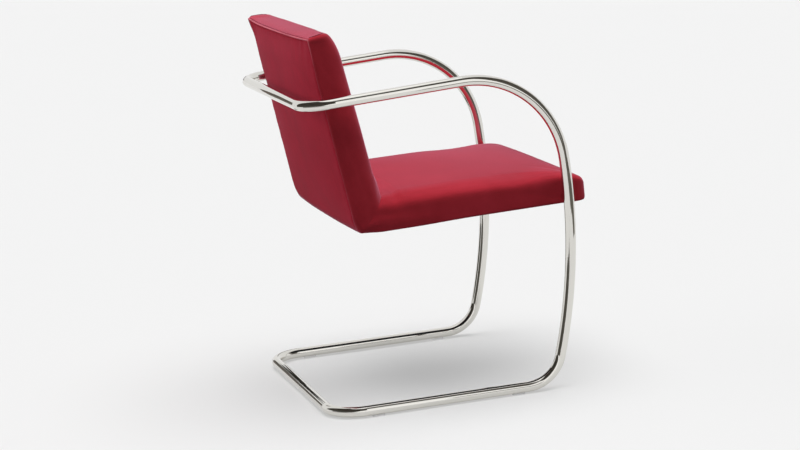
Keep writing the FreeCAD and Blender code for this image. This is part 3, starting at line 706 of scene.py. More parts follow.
@dataclass
class Upholstery:
    """The padded unit: one velvet cover over seat, sides, front and top, a rear panel and a lining.

    Fields that end in keys give the share of a size at shares of the way along its limb.
    """

    # The L of the seat and the back, and the fold between them.
    width: float = 488 * MM
    seat_depth: float = 492.3 * MM
    nose_reach: float = 3.5 * MM
    seat_thick: float = 66 * MM
    seat_tilt: float = math.radians(1.5)
    back_height: float = 412.5 * MM
    back_thick: float = 67 * MM
    back_lean: float = math.radians(11)
    corner_height: float = 369 * MM
    fold_radius: float = 9 * MM
    fold_shares: tuple[float, ...] = (0.25, 0.5, 0.75)
    crease_run: float = 2.7 * MM
    slant_run: float = 110 * MM
    # How full the faces stand between their edges, and how far the sides are drawn in.
    fullness: Pair = (2.9, 3.0)
    side_draw: float = 1.8 * MM
    seat_crown: float = 4.5 * MM
    seat_crown_keys: Keys = ((0.1, 0.5), (0.4, 1), (0.88, 0.9), (1, 0.3))
    rear_crown: float = 16 * MM
    rear_crown_keys: Keys = ((0.02, 0.3), (0.3, 0.85), (0.6, 1), (0.85, 0.9), (1, 0.4))
    front_crown: float = 3 * MM
    front_crown_keys: Keys = ((0.13, 0.3), (0.5, 1), (0.85, 0.9), (1, 0.35))
    # How far faces move as wholes: the back's two, and the seat's two behind its middle.
    back_shift: float = 2.2 * MM
    rear_shift_keys: Keys = ((0, 0.3), (0.06, 1))
    front_shift_keys: Keys = ((0.15, 0), (0.3, 1))
    low_shift: float = 2.6 * MM
    low_shift_keys: Keys = ((0.01, 0), (0.07, 1), (0.35, 0.5), (0.6, 0))
    top_taper: float = 3 * MM
    top_settle: Pair = (95 * MM, 5 * MM)
    settle_power: float = 1.3
    rear_lift: float = 4.4 * MM
    rear_lift_keys: Keys = ((0.12, 0), (0.2, 1), (0.5, 1), (0.8, 0), (0.9, -0.5))
    rear_sag: float = 2 * MM
    rear_sag_keys: Keys = ((0.02, 0), (0.1, 1), (0.24, 1), (0.5, 0))
    # The rounded edges, and the ends that roll over.
    seat_edges: tuple[Pair, Pair] = ((5 * MM, 5 * MM), (48 * MM, 26 * MM))
    nose_edge: Pair = (14 * MM, 10 * MM)
    nose_start: float = 0.7
    back_edges: tuple[Pair, Pair] = ((6 * MM, 6 * MM), (22 * MM, 30 * MM))
    fold_edges: tuple[Pair, Pair] = ((14 * MM, 14 * MM), (34 * MM, 26 * MM))
    fold_blend: float = 45 * MM
    edge_share: float = 0.55
    seat_rolls: tuple[Pair, ...] = ((8 * MM, 7 * MM), (72 * MM, 25 * MM), (20 * MM, 12 * MM))
    back_rolls: tuple[Pair, ...] = ((4 * MM, 3 * MM), (64 * MM, 23 * MM), (8 * MM, 4.5 * MM))
    seat_end_bulge: float = 7 * MM
    top_end_bulge: float = 1.2 * MM
    end_squareness: int = 8
    # How finely the cover is divided.
    step: float = 6.5 * MM
    end_shares: tuple[float, ...] = (1, 0.87, 0.74, 0.62, 0.5, 0.39, 0.29, 0.2, 0.12, 0.06, 0.02, 0)
    least_gap: float = 1.2 * MM
    tolerance: float = 0.1 * MM
    face_cells: int = 72
    arc_cells: int = 7
    side_cells: int = 7
    # The cloth, how it swells between its seams, and how the panels lie on the cover.
    cloth: float = 1.6 * MM
    start_inset: float = 0.7 * MM
    swell_frames: int = 20
    swell_cap: float = 3 * MM
    sink_share: float = 0.15
    seam_inset: float = 1 * MM
    fold_margin: float = 4 * MM
    seam_depth: float = 0.7 * MM
    under_panel: float = 3.2 * MM
    # Puckers under the rear panel's top seam, which fan out and grow towards its corners.
    pucker_height: float = 1.7 * MM
    pucker_reach: float = 20 * MM
    pucker_size: Pair = (11 * MM, 90 * MM)
    pucker_middle: float = 0.35
    pucker_growth: Pair = (0.22, 0.24)
    pucker_fan: float = 0.35
    pucker_row: float = 3.0
    # Scallops along its side seams.
    scallop_height: float = 1.4 * MM
    scallop_length: float = 37 * MM
    scallop_reach: float = 11 * MM
    scallop_mean: float = 0.4
    scallop_drift: Pair = (70 * MM, 3.0)
    scallop_row: float = 9.0
    # The corner that was pulled in sewing.
    ear_pull: float = 7.5 * MM
    ear_size: float = 26 * MM
    ear_rise: float = 1.1
    # The welt and the stitches. A bed is how high the centre lies over the cover, in radii, which for
    # the welt is at its ends and between them.
    welt_radius: float = 1.6 * MM
    welt_beds: Pair = (-0.9, 0.3)
    welt_end: float = 0.5
    welt_turn: int = 9
    welt_sides: int = 10
    thread_radius: float = 0.55 * MM
    thread_bed: float = 0.3
    thread_sides: int = 8
    seat: Limb = field(init=False)
    back: Limb = field(init=False)
    fold_angle: float = field(init=False)
    points: list[Vector] = field(default_factory=list)
    outward: list[Vector] = field(default_factory=list)
    faces: list[list[int]] = field(default_factory=list)
    stations: list[Station] = field(default_factory=list)

    def __post_init__(self) -> None:
        """Set the unit in the frame: its front end lies a little before the solid's front end."""
        seat_cos, seat_sin = math.cos(self.seat_tilt), math.sin(self.seat_tilt)
        back_cos, back_sin = math.cos(self.back_lean), math.sin(self.back_lean)
        front_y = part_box("front_cover")[0][1] - self.nose_reach
        under_roll = self.seat_rolls[0][1]
        corner_y = front_y + self.seat_depth * seat_cos - under_roll * seat_sin
        corner = Vector((0, corner_y, self.corner_height))
        self.seat = Limb(Zone.SEAT, corner, Vector((0, -seat_cos, seat_sin)), Vector((0, seat_sin, seat_cos)),
                         self.seat_depth, self.seat_thick, self.seat_rolls, self.seat_edges)
        self.back = Limb(Zone.BACK, corner, Vector((0, back_sin, back_cos)), Vector((0, -back_cos, back_sin)),
                         self.back_height, self.back_thick, self.back_rolls, self.back_edges)
        self.fold_angle = math.pi / 2 + self.back_lean - self.seat_tilt

    def fold_point(self, above_seat: float, before_back: float) -> Vector:
        """Return the point in the fold at given distances from the two outer faces.

        Args:
            above_seat: Distance from the seat's outer face.
            before_back: Distance from the back's outer face.

        Returns:
            The point, in the chair's middle plane.
        """
        along_seat = before_back / math.sin(self.fold_angle)
        along_back = above_seat / math.sin(self.fold_angle)
        return self.seat.corner + self.seat.along * along_seat + self.back.along * along_back

    def fold_run(self) -> float:
        """Return how far the fold's rounding reaches along each limb."""
        return self.fold_radius / math.tan(self.fold_angle / 2)

    def roll_in(self, distance: float, roll: Pair) -> float:
        """Return how far a face has come in where it rolls over.

        Args:
            distance: Distance before the limb's end.
            roll: The roll's length along the limb, and how far it comes in.

        Returns:
            The depth, 0 before the roll begins.
        """
        length, reach = roll
        if distance >= length:
            return 0.0
        return reach * (1 - math.sqrt(1 - (1 - distance / length) ** 2))

    def panel_span(self, limb: Limb) -> Pair:
        """Return where a limb's outer panel starts and ends along it."""
        return self.fold_radius + self.fold_margin, limb.depth - limb.rolls[0][0] - self.seam_inset

    def limb_places(self, limb: Limb) -> list[float]:
        """Return the places of a limb's sections, from the end of the fold to the limb's end.

        Args:
            limb: The seat or the back.

        Returns:
            Distances from the rear lower corner, with one at each end of its panel.
        """
        longest = max(length for length, _ in limb.rolls)
        panel_start, panel_end = self.panel_span(limb)
        ends = [limb.depth - longest * share for share in self.end_shares]
        ends = [place for place in ends if abs(place - panel_end) > self.least_gap] + [panel_end]
        middle = evenly(panel_start, limb.depth - longest, self.step)[:-1]
        return sorted([self.fold_run()] + middle + ends)

    def seat_form(self, share: float) -> tuple[Pair, Pair]:
        """Return the seat's form at a share of the way along it.

        Args:
            share: 0 at the rear lower corner, and 1 at the front end.

        Returns:
            The crowns of its outer and inner faces, and how far these move in.
        """
        crown = self.seat_crown * between_keys(self.seat_crown_keys, share)
        sag = self.rear_sag * between_keys(self.rear_sag_keys, share)
        lift = self.rear_lift * between_keys(self.rear_lift_keys, share)
        return (0.0, crown), (-sag, -lift)

    def back_form(self, share: float) -> tuple[Pair, Pair]:
        """Return the back's form at a share of the way along it.

        Args:
            share: 0 at the rear lower corner, and 1 at the top.

        Returns:
            The crowns of its outer and inner faces, and how far these move in.
        """
        crowns = (self.rear_crown * between_keys(self.rear_crown_keys, share),
                  self.front_crown * between_keys(self.front_crown_keys, share))
        settle_run, settle = self.top_settle
        rear = settle * max(0.0, 1 - self.back_height * (1 - share) / settle_run) ** self.settle_power
        rear -= self.back_shift * between_keys(self.rear_shift_keys, share)
        rear -= self.low_shift * between_keys(self.low_shift_keys, share)
        front = self.top_taper * max(0.0, 2 * share - 1)
        front += self.back_shift * between_keys(self.front_shift_keys, share)
        return crowns, (rear, front)

    def limb_station(self, limb: Limb, place: float) -> Station:
        """Make the cross-section of the seat or the back at a place along it.

        Args:
            limb: The seat or the back.
            place: Distance from the rear lower corner.

        Returns:
            The section, square to the limb except near the fold, where it slants towards the crease.
        """
        share = place / limb.depth
        on_seat = limb.zone is Zone.SEAT
        crowns, moved_in = self.seat_form(share) if on_seat else self.back_form(share)
        outer_roll, inner_roll, side_roll = (self.roll_in(limb.depth - place, roll) for roll in limb.rolls)
        crease = self.fold_point(self.seat_thick, self.back_thick) + limb.along * self.crease_run
        crease_place = (crease - limb.corner).dot(limb.along)
        inner_place = place
        settled = min(1.0, (place - self.fold_run()) / (self.slant_run - self.fold_run()))
        if settled < 1.0:
            inner_place = crease_place + (self.slant_run - crease_place) * settled
        outer_edge = mixed(self.fold_edges[0], limb.edges[0],
                           smooth_step((place - self.fold_run()) / self.fold_blend))
        inner_edge = mixed(self.fold_edges[1], limb.edges[1], smooth_step(settled))
        if on_seat:
            before_nose = (share - self.nose_start) / (1 - self.nose_start)
            inner_edge = mixed(inner_edge, self.nose_edge, smooth_step(before_nose))
        return Station(outer=limb.at(place, outer_roll + moved_in[0]),
                       inner=limb.at(inner_place, limb.thick - inner_roll - moved_in[1]),
                       half=self.width / 2 - side_roll - self.side_draw * math.sin(math.pi * share),
                       crowns=crowns, edges=(outer_edge, inner_edge), zone=limb.zone, place=place)

    def fold_stations(self) -> list[Station]:
        """Make the sections round the fold, whose inner points all lie in the crease.

        Returns:
            The sections, from the seat's end of the fold to the back's.
        """
        first = self.limb_station(self.seat, self.fold_run())
        last = self.limb_station(self.back, self.fold_run())
        centre = self.fold_point(self.fold_radius, self.fold_radius)
        crease = self.fold_point(self.seat_thick, self.back_thick)
        made = []
        for share in self.fold_shares:
            spoke = (first.outer - centre).lerp(last.outer - centre, share).normalized()
            pull = self.crease_run * abs(2 * share - 1) / 2
            side = self.seat if share < 0.5 else self.back
            made.append(Station(centre + spoke * self.fold_radius, crease + side.along * pull, self.width / 2,
                                mixed(first.crowns, last.crowns, share), self.fold_edges, Zone.FOLD, share))
        return made

    def across(self, edge: float) -> list[float]:
        """Return the places across a face: an even spread between the seams, and the face's two edges.

        Args:
            edge: How far the face's edges lie from the middle.

        Returns:
            The places, from the sitter's right to the left.
        """
        seam = edge - self.seam_inset
        even = [seam * (2 * cell / self.face_cells - 1) for cell in range(self.face_cells + 1)]
        return [-edge] + even + [edge]

    def ring(self, station: Station) -> list[Vector]:
        """Return the points of one section, round from the outer face's right edge.

        Args:
            station: The section.

        Returns:
            The outer face from right to left, the left side, the inner face from left to right, and the
            right side.
        """
        height = (station.inner - station.outer).length
        up = (station.inner - station.outer).normalized()
        most = self.edge_share * height
        outer_edge, inner_edge = ([reach * min(1.0, most / edge[1]) for reach in edge]
                                  for edge in station.edges)
        ends = (station.half - outer_edge[0], station.half - inner_edge[0])
        slopes = [crown * full / end for crown, full, end in zip(station.crowns, self.fullness, ends)]

        def at(x: float, level: float) -> Vector:
            """Return the section's point at a place across it and a level over the outer face."""
            return station.outer + Vector((x, 0, 0)) + up * level

        shares = [x / ends[0] for x in self.across(ends[0])]
        outer_rise, inner_rise = ([crown * (1 - abs(share) ** full) for share in shares]
                                  for crown, full in zip(station.crowns, self.fullness))
        outer = [at(share * ends[0], -rise) for share, rise in zip(shares, outer_rise)]
        inner = [at(share * ends[1], height + rise) for share, rise in zip(shares, inner_rise)]
        low = rounded_edge((ends[0], 0), slopes[0], (station.half, outer_edge[1]), self.arc_cells)[1:]
        high = rounded_edge((ends[1], height), -slopes[1], (station.half, height - inner_edge[1]),
                            self.arc_cells)
        rise = (high[-1][1] - low[-1][1]) / self.side_cells
        upright = [(station.half, low[-1][1] + rise * cell) for cell in range(1, self.side_cells)]
        column = low + upright + high[:0:-1]
        left = [at(x, level) for x, level in column]
        right = [at(-x, level) for x, level in reversed(column)]
        return outer + left + inner[::-1] + right

    def shape(self) -> None:
        """Loft the whole unit from the seat's front end over the fold to the back's top."""
        seat, back = ([self.limb_station(limb, place) for place in self.limb_places(limb)]
                      for limb in (self.seat, self.back))
        self.stations = seat[::-1] + self.fold_stations() + back
        for station in self.stations:
            self.points += self.ring(station)
        count = self.ring_count
        for row in range(len(self.stations) - 1):
            for cell in range(count):
                following = (cell + 1) % count
                self.faces.append([row * count + cell, row * count + following,
                                   (row + 1) * count + following, (row + 1) * count + cell])
        self.close_end(0, self.seat.along * self.seat_end_bulge)
        self.close_end(len(self.stations) - 1, self.back.along * self.top_end_bulge)

    @property
    def face_points(self) -> int:
        """How many points lie across a face."""
        return self.face_cells + 3

    @property
    def side_points(self) -> int:
        """How many points lie up a side, without the faces' edges."""
        return 2 * self.arc_cells + self.side_cells - 1

    @property
    def ring_count(self) -> int:
        """How many points a section has."""
        return 2 * (self.face_points + self.side_points)

    def close_end(self, row: int, bulge: Vector) -> None:
        """Close an end with a grid that is drawn between the section's four sides, slightly full.

        Args:
            row: The end section.
            bulge: How far the end's middle stands out.
        """
        wide, tall = self.face_points, self.side_points
        base = row * self.ring_count
        bottom = [base + i for i in range(wide)]
        left = [base + wide + j for j in range(tall)]
        top = [base + wide + tall + i for i in range(wide)][::-1]
        right = [base + 2 * wide + tall + j for j in range(tall)][::-1]
        grid = [bottom]
        for j in range(tall):
            v = (j + 1) / (tall + 1)
            line = [right[j]]
            for i in range(1, wide - 1):
                u = i / (wide - 1)
                p = self.points
                point = (p[bottom[i]] * (1 - v) + p[top[i]] * v + p[right[j]] * (1 - u) + p[left[j]] * u
                         - p[bottom[0]] * (1 - u) * (1 - v) - p[bottom[-1]] * u * (1 - v)
                         - p[top[0]] * (1 - u) * v - p[top[-1]] * u * v)
                fullness = math.sin(math.pi * v) * (1 - (2 * u - 1) ** self.end_squareness)
                self.points.append(point + bulge * fullness)
                line.append(len(self.points) - 1)
            grid.append(line + [left[j]])
        grid.append(top)
        for low, high in zip(grid, grid[1:]):
            for i in range(wide - 1):
                self.faces.append([low[i], low[i + 1], high[i + 1], high[i]])

    def panel_grid(self, limb: Limb) -> list[list[int]]:
        """Return the points of a limb's outer panel, its seams included.

        Args:
            limb: The seat or the back.

        Returns:
            Numbers of points, row by row along the limb, each row from right to left.
        """
        start, end = self.panel_span(limb)
        rows = [row for row, station in enumerate(self.stations) if station.zone is limb.zone
                and start - self.tolerance <= station.place <= end + self.tolerance]
        return [[row * self.ring_count + 1 + i for i in range(self.face_points - 2)] for row in rows]

    def held_points(self) -> list[int]:
        """Return the points that stay put as the cover swells: the panels' seams and the crease.

        Returns:
            Their numbers, in rising order.
        """
        held = set()
        for limb in (self.seat, self.back):
            grid = self.panel_grid(limb)
            held.update(grid[0] + grid[-1] + [row[0] for row in grid] + [row[-1] for row in grid])
        first_inner = self.face_points + self.side_points
        for row, station in enumerate(self.stations):
            if station.zone is Zone.FOLD:
                held.update(row * self.ring_count + first_inner + i for i in range(self.face_points))
        return sorted(held)

    def swell(self, body: bpy.types.Object) -> None:
        """Let the stuffing press the cover out between its seams, by a cloth simulation.

        The stuffing holds the cover up from inside, so little is kept of what sinks in.

        Args:
            body: The closed cover, from which the points where the cloth comes to rest are worked out.
        """
        seams = body.vertex_groups.new(name="seams")
        seams.add(self.held_points(), 1.0, "REPLACE")
        cloth = body.modifiers.new("cloth", "CLOTH")
        for setting, value in COVER_CLOTH.items():
            setattr(cloth.settings, setting, value)
        cloth.settings.vertex_group_mass = seams.name
        cloth.settings.effector_weights.gravity = 0
        cloth.collision_settings.use_collision = False
        scene = bpy.context.scene
        for number in range(1, self.swell_frames + 1):
            scene.frame_set(number)
        rested = body.evaluated_get(bpy.context.evaluated_depsgraph_get()).to_mesh()
        for index, vertex in enumerate(rested.vertices):
            start = body.data.vertices[index]
            move = vertex.co - start.co
            sunk = min(0.0, move.dot(start.normal))
            move -= start.normal * sunk * (1 - self.sink_share)
            if move.length > 0:
                move *= self.swell_cap * math.tanh(move.length / self.swell_cap) / move.length
            self.points[index] = start.co + move
        body.modifiers.remove(cloth)
        body.vertex_groups.remove(seams)
        scene.frame_set(1)

    def pull_corner(self) -> None:
        """Draw out the back's top rear corner on the sitter's left, where the cloth was pulled in sewing."""
        tip = self.panel_grid(self.back)[-1][-1]
        centre = self.points[tip].copy()
        pull = (self.back.along * self.ear_rise - self.back.inward).normalized() * self.ear_pull
        for index, point in enumerate(self.points):
            far = (point - centre).length / self.ear_size
            self.points[index] = point + pull * math.exp(-far * far)

    def pucker(self, x: float, below: float) -> float:
        """Return how far the rear panel stands out in the puckers under its top seam.

        Args:
            x: Place across the back.
            below: Distance under the seam.

        Returns:
            A height, larger near the two corners.
        """
        start, run = self.pucker_growth
        corner = smooth_step((abs(x) - self.width * start) / (self.width * run))
        fan = x + below * self.pucker_fan * (1 if x > 0 else -1)
        wave = noise.noise(Vector((fan / self.pucker_size[0], below / self.pucker_size[1], self.pucker_row)))
        reach = self.pucker_reach * (1 + corner)
        return self.pucker_height * (self.pucker_middle + corner) * wave * math.exp(-below / reach)

    def scallop(self, along: float, from_side: float) -> float:
        """Return how far the rear panel stands out between the places where its side seam is drawn tight.

        Args:
            along: Distance along the seam.
            from_side: Distance from the seam.

        Returns:
            A height that rises and falls along the seam.
        """
        length, turn = self.scallop_drift
        drift = noise.noise(Vector((along / length, 0, self.scallop_row)))
        wave = math.sin(2 * math.pi * along / self.scallop_length + turn * drift)
        height = self.scallop_mean + (1 - self.scallop_mean) * wave
        return self.scallop_height * height * math.exp(-from_side / self.scallop_reach)

    def build(self) -> list[bpy.types.Object]:
        """Build every piece of the unit.

        Returns:
            The cover, the rear panel, the lining, the seam's welt and the stitches of the two top darts.
        """
        self.shape()
        body = add_piece("velvet_cover", self.points, self.faces, VELVET)
        set_points(body, [point - normal * self.start_inset
                          for point, normal in zip(self.points, normals_of(body))])
        self.swell(body)
        self.pull_corner()
        set_points(body, self.points)
        self.outward = normals_of(body)
        rear = self.build_rear_panel()
        lining = self.panel("underside_lining", self.panel_grid(self.seat), self.cloth,
                            lambda row, column: 0.0, LINING)
        trims = [self.build_welt()] + self.build_darts()
        self.sink_under_panels(body)
        self.dress(body, rear, lining, trims)
        return [body, rear, lining] + trims

    def sink_under_panels(self, body: bpy.types.Object) -> None:
        """Draw the cover in under its two panels, so that they alone show.

        Args:
            body: The cover.
        """
        points = list(self.points)
        for limb in (self.seat, self.back):
            for index in sum(self.panel_grid(limb), []):
                points[index] = self.points[index] - self.outward[index] * self.under_panel
        set_points(body, points)

    def panel(self, name: str, grid: Sequence[Sequence[int]], tuck: float,
              lift: Callable[[int, int], float], finish: Finish) -> bpy.types.Object:
        """Make a panel from the cover's points, tucked in along its seams.

        Args:
            name: The piece's name.
            grid: The points, row by row.
            tuck: How deep its seams lie.
            lift: A function of row and column that gives how far the panel stands out inside its seams.
            finish: The panel's finish.

        Returns:
            The panel, as a single layer.
        """
        rows, columns = len(grid), len(grid[0])
        points = []
        for row, line in enumerate(grid):
            for column, index in enumerate(line):
                on_seam = row in (0, rows - 1) or column in (0, columns - 1)
                rise = -tuck if on_seam else lift(row, column)
                points.append(self.points[index] + self.outward[index] * rise)
        faces = [[row * columns + column, row * columns + column + 1,
                  (row + 1) * columns + column + 1, (row + 1) * columns + column]
                 for row in range(rows - 1) for column in range(columns - 1)]
        piece = add_piece(name, points, faces, finish, closed=False)
        middle = (rows // 2) * columns + columns // 2
        if piece.data.vertices[middle].normal.dot(self.outward[grid[rows // 2][columns // 2]]) < 0:
            piece.data.flip_normals()
        return piece

    def build_rear_panel(self) -> bpy.types.Object:
        """Make the velvet panel on the back's rear face, with puckers under its top seam.

        Returns:
            The panel.
        """
        grid = self.panel_grid(self.back)

        def lift(row: int, column: int) -> float:
            """Return how far the panel stands out at a point of its grid.

            Args:
                row: The point's row, along the back.
                column: Its place in the row.

            Returns:
                The height over the cover.
            """
            point = self.points[grid[row][column]]
            below = (self.points[grid[-1][column]] - point).length
            beside = min((point - self.points[grid[row][edge]]).length for edge in (0, -1))
            return self.pucker(point.x, below) + self.scallop(below, beside)

        # The panel's velvet is painted lighter than the cover's: painted light on the rear face.
        return self.panel("rear_panel", grid, self.seam_depth, lift, FLAT_VELVET_PAINTED_LIGHTER)

    def build_welt(self) -> bpy.types.Object:
        """Make the narrow welt of the rear panel's top seam, whose ends turn down into the side seams.

        Returns:
            The welt.
        """
        grid = self.panel_grid(self.back)
        right = [row[0] for row in grid[-self.welt_turn:-1]]
        left = [row[-1] for row in grid[-self.welt_turn:-1]][::-1]
        indices = right + grid[-1] + left
        path, radii = [], []
        for place, index in enumerate(indices):
            shown = smooth_step(min(place, len(indices) - 1 - place) / self.welt_turn)
            bed = self.welt_beds[0] + (self.welt_beds[1] - self.welt_beds[0]) * shown
            path.append(self.points[index] + self.outward[index] * self.welt_radius * bed)
            radii.append(self.welt_radius * (self.welt_end + (1 - self.welt_end) * shown))
        points, faces = sweep(path, radii, self.welt_sides)
        # The welt's velvet is painted pale: a painted highlight along the cord.
        return add_piece("rear_seam_welt", points, faces, WELT_VELVET_PAINTED_HIGHLIGHT)

    def build_darts(self) -> list[bpy.types.Object]:
        """Make the stitching of the darts that close the cover along the back's two upper side edges, drawn
        dark as painted shade in each seam.

        Returns:
            The two rows of stitches.
        """
        base = (len(self.stations) - 1) * self.ring_count
        starts = {"left": base + self.face_points, "right": base + 2 * self.face_points + self.side_points}
        darts = []
        for side, start in starts.items():
            path = [self.points[index] + self.outward[index] * self.thread_radius * self.thread_bed
                    for index in range(start, start + self.side_points)]
            points, faces = sweep(path, [self.thread_radius] * len(path), self.thread_sides)
            # The stitches are drawn dark as painted shade in the dart seam.
            darts.append(add_piece(f"top_dart_shade_stitches_{side}", points, faces, SEAM_SHADE_THREAD))
        return darts

    def dress(self, body: bpy.types.Object, rear: bpy.types.Object, lining: bpy.types.Object,
              trims: Sequence[bpy.types.Object]) -> None:
        """Give each piece its thickness, its smoothness and its place in the frame.

        Args:
            body: The cover.
            rear: The rear panel.
            lining: The dust cloth under the seat.
            trims: The welt and the stitches.
        """
        for piece in (rear, lining):
            shell = piece.modifiers.new("thickness", "SOLIDIFY")
            shell.thickness = self.cloth
            shell.offset = -1
        for piece in (body, rear, lining):
            smooth = piece.modifiers.new("smooth", "SUBSURF")
            smooth.levels = smooth.render_levels = 1
        for piece in (body, rear, lining, *trims):
            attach(piece, "root")
        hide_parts("front_cover", "seat_foam", "back_foam", "side_foam_left", "side_foam_right",
                    "front_edge_foam", "top_edge_foam")
        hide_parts("rear_cover", "rear_foam")
        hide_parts("underside_cover")


# The solids that stay


@dataclass
class Metalwork:
    """The tube frame, its glides and the hidden steel, webbing and fasteners: each solid's finish."""

    finishes: tuple[tuple[str, Finish], ...] = (
        ("frame_tube", CHROME), ("boss", CHROME), ("spigot", Coat.DRAWN.value), ("glide", NYLON),
        ("rail", Coat.ENAMEL.value), ("gusset", Coat.ENAMEL.value), ("screws", Coat.ZINC.value),
        ("bolt", Coat.ZINC.value), ("webbing", WEBBING),
    )

    def dress(self) -> list[str]:
        """Dress each solid that stays.

        Returns:
            The names of the dressed solids.
        """
        dressed = []
        for name, node in sorted(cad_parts.items()):
            for word, finish in self.finishes:
                if word in name:
                    finish.dress(node)
                    dressed.append(name)
                    break
        return dressed


# Studio


@dataclass(frozen=True)
class Ribbon:
    """A curved panel off the set that only mirrors see: a flag or a softbox.

    Its edges are rows of azimuth, and of the elevations of its lower and upper edge there, in degrees as
    seen from its centre. Its grid has a row every few degrees round, and some cells up.
    """

    name: str
    finish: Finish
    centre: tuple[float, float, float]
    radius: float
    edges: tuple[tuple[float, float, float], ...]
    row_degrees: float = 5
    cells: int = 6

    def build(self) -> None:
        """Make the panel on a sphere round its centre."""
        points = []
        for first, second in zip(self.edges, self.edges[1:]):
            steps = max(1, round((second[0] - first[0]) / self.row_degrees))
            rows = [mixed(first, second, step / steps) for step in range(steps)]
            if second is self.edges[-1]:
                rows.append(second)
            for azimuth, low, high in rows:
                points += [self.place(azimuth, low + (high - low) * cell / self.cells)
                           for cell in range(self.cells + 1)]
        wide = self.cells + 1
        faces = [[row * wide + cell, row * wide + cell + 1,
                  (row + 1) * wide + cell + 1, (row + 1) * wide + cell]
                 for row in range(len(points) // wide - 1) for cell in range(self.cells)]
        panel = add_piece(self.name, points, faces, self.finish, closed=False)
        panel.visible_camera = False
        panel.visible_diffuse = False
        panel.visible_shadow = False

    def place(self, azimuth: float, elevation: float) -> Vector:
        """Return the point of the panel's sphere in a direction from its centre.

        Args:
            azimuth: Degrees round, from the chair's front towards the sitter's left.
            elevation: Degrees up.

        Returns:
            The point.
        """
        around, above = math.radians(azimuth), math.radians(elevation)
        level = math.cos(above)
        heading = Vector((math.sin(around) * level, -math.cos(around) * level, math.sin(above)))
        return Vector(self.centre) + heading * self.radius


RIBBONS = (
    Ribbon("softbox_overhead", Softbox(), (0, 0, 0.5), 3.5, ((0, 74, 90), (360, 74, 90))),
    Ribbon("softbox_beside", Softbox("studio_softbox_beside", 1.16), (0, 0, 0.5), 3.5,
           ((225, -4, 30), (305, -4, 30))),
    Ribbon("flag_beside", Flag.GREY.value, (-0.27, -0.15, 0.6), 1.65,
           ((262, 42, 62), (284, 38, 68), (290, 34, 70), (298, 4, 70), (304, -12, 70), (318, -12, 70),
            (335, -2, 66), (352, 14, 60), (375, 30, 50))),
    Ribbon("flag_beside_low", Flag.GREY.value, (-0.27, -0.24, 0.45), 1.0,
           ((272, -15, -3), (300, -16, -3), (312, -20, -4), (350, -20, -10))),
    Ribbon("flag_behind", Flag.GREY.value, (-0.27, -0.2, 0.15), 2.0,
           ((150, 6, 66), (228, 6, 66), (250, 20, 66), (266, 24, 60))),
    Ribbon("flag_behind_low", Flag.GREY.value, (-0.27, -0.23, 0.144), 2.0,
           ((172, -2, 5), (205, -3, 4), (226, -4.1, 1.5), (240, -4.1, -0.5))),
    Ribbon("flag_far_side", Flag.LIGHT.value, (-0.2, 0.288, 0.64), 0.9, ((101.5, -6, 9), (112, -6, 9))),
    Ribbon("flag_floor_far", Flag.DARK.value, (-0.1, 0.2755, 0.013), 2.5,
           ((82, 18, 21.5), (90, 17.8, 21.5), (101, 16, 20))),
    Ribbon("card_floor_far", Flag.PALE.value, (-0.1, 0.2755, 0.013), 0.9, ((97, 0, 14), (114, 0, 14))),
    Ribbon("flag_floor_behind", Flag.DARK.value, (0.27, -0.24, 0.19), 0.5, ((136, -8, 3), (176, -8, 3))),
)


@dataclass(frozen=True)
class SoftSun:
    """A broad soft light.

    Its heading is the direction in which its light goes, its strength is in watts per square metre, and
    its spread is its angular size in degrees.
    """

    name: str
    heading: tuple[float, float, float]
    strength: float
    spread: float

    def build(self) -> None:
        """Make the lamp, which mirrors don't show."""
        lamp = bpy.data.lights.new(self.name, "SUN")
        lamp.energy = self.strength
        lamp.angle = math.radians(self.spread)
        light = bpy.data.objects.new(self.name, lamp)
        light.rotation_mode = "QUATERNION"
        light.rotation_quaternion = Vector(self.heading).to_track_quat("-Z", "Y")
        light.visible_glossy = False
        bpy.context.scene.collection.objects.link(light)


SUNS = (
    SoftSun("top_light", (0.0, 0.1, -1.0), 2.85, 62),
    SoftSun("rear_light", (-0.45, -1.0, -0.1), 1.2, 60),
)


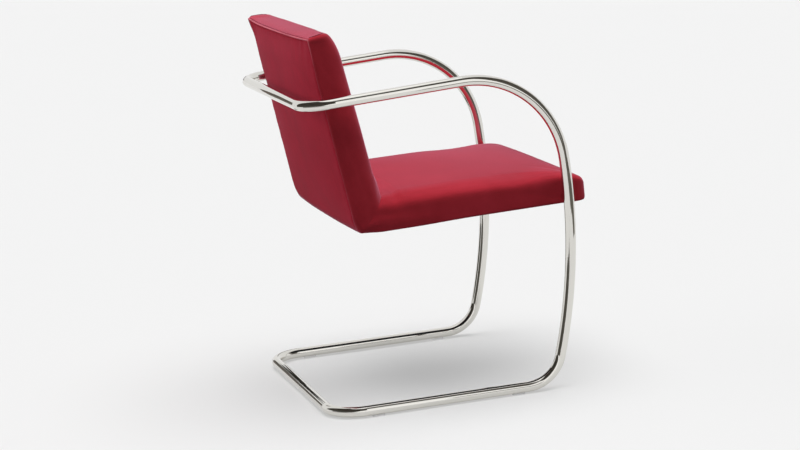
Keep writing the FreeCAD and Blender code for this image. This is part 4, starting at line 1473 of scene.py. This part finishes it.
@dataclass
class Studio:
    """The paper floor, the lights, the panels that the tube mirrors, and the camera."""

    floor_radius: float = 60.0
    floor_sides: int = 96
    sky: str = "#F3F3F3"
    ambient: float = 0.18
    target: Vector = field(default_factory=lambda: Vector((0, 0.03265, 0.3295)))
    distance: float = 4.9392
    azimuth: float = math.radians(253.663)
    elevation: float = math.radians(11.191)
    roll: float = math.radians(-4.0316)
    lens: float = 104.476
    sensor_width: float = 36
    far_clip: float = 200

    def build(self) -> None:
        """Make the whole set."""
        self.build_floor()
        for piece in (*RIBBONS, *SUNS):
            piece.build()
        self.build_world()
        self.build_camera()

    def build_floor(self) -> None:
        """Make the round paper floor."""
        work = bmesh.new()
        bmesh.ops.create_circle(work, cap_ends=True, segments=self.floor_sides, radius=self.floor_radius)
        mesh = bpy.data.meshes.new("studio_floor")
        work.to_mesh(mesh)
        work.free()
        floor = bpy.data.objects.new("studio_floor", mesh)
        bpy.context.scene.collection.objects.link(floor)
        StudioPaper().dress(floor)

    def build_world(self) -> None:
        """Make the world: a plain pale backdrop to the eye and in mirrors, and a soft fill light."""
        world = bpy.data.worlds.new("studio")
        bpy.context.scene.world = world
        world.use_nodes = True
        tree = world.node_tree
        tree.nodes.clear()
        fill = add_node(tree, "Background", {"Color": (1, 1, 1, 1), "Strength": self.ambient})
        backdrop = add_node(tree, "Background", {"Color": linear(self.sky), "Strength": 1.0})
        mix = add_node(tree, "MixShader", {},
                       {0: seen_rays(tree), 1: fill.outputs[0], 2: backdrop.outputs[0]})
        add_node(tree, "OutputWorld", links={"Surface": mix.outputs[0]})

    def build_camera(self) -> None:
        """Make the camera at the photograph's place, with its slight roll."""
        level = math.cos(self.elevation)
        back = Vector((math.sin(self.azimuth) * level, -math.cos(self.azimuth) * level,
                       math.sin(self.elevation)))
        right = (-back).cross(Vector((0, 0, 1))).normalized()
        up = back.cross(right)
        rolled_right = right * math.cos(self.roll) + up * math.sin(self.roll)
        rolled_up = up * math.cos(self.roll) - right * math.sin(self.roll)
        turn = Matrix((rolled_right, rolled_up, back)).transposed().to_4x4()
        camera = bpy.data.objects.new("camera", bpy.data.cameras.new("camera"))
        camera.matrix_world = Matrix.Translation(self.target + back * self.distance) @ turn
        camera.data.sensor_width = self.sensor_width
        camera.data.lens = self.lens
        camera.data.clip_end = self.far_clip
        bpy.context.scene.collection.objects.link(camera)
        bpy.context.scene.camera = camera


def main() -> None:
    """Build and dress the chair, then set the studio round it."""
    logging.basicConfig(level=logging.INFO, format="%(name)s: %(message)s")
    bpy.context.scene.view_settings.view_transform = "Standard"
    for name in Metalwork().dress():
        log.info("dressed %s", name)
    for piece in Upholstery().build():
        log.info("built %s with %d points", piece.name, len(piece.data.vertices))
    Studio().build()
    log.info("set the studio")


if __name__ == "__main__":
    main()
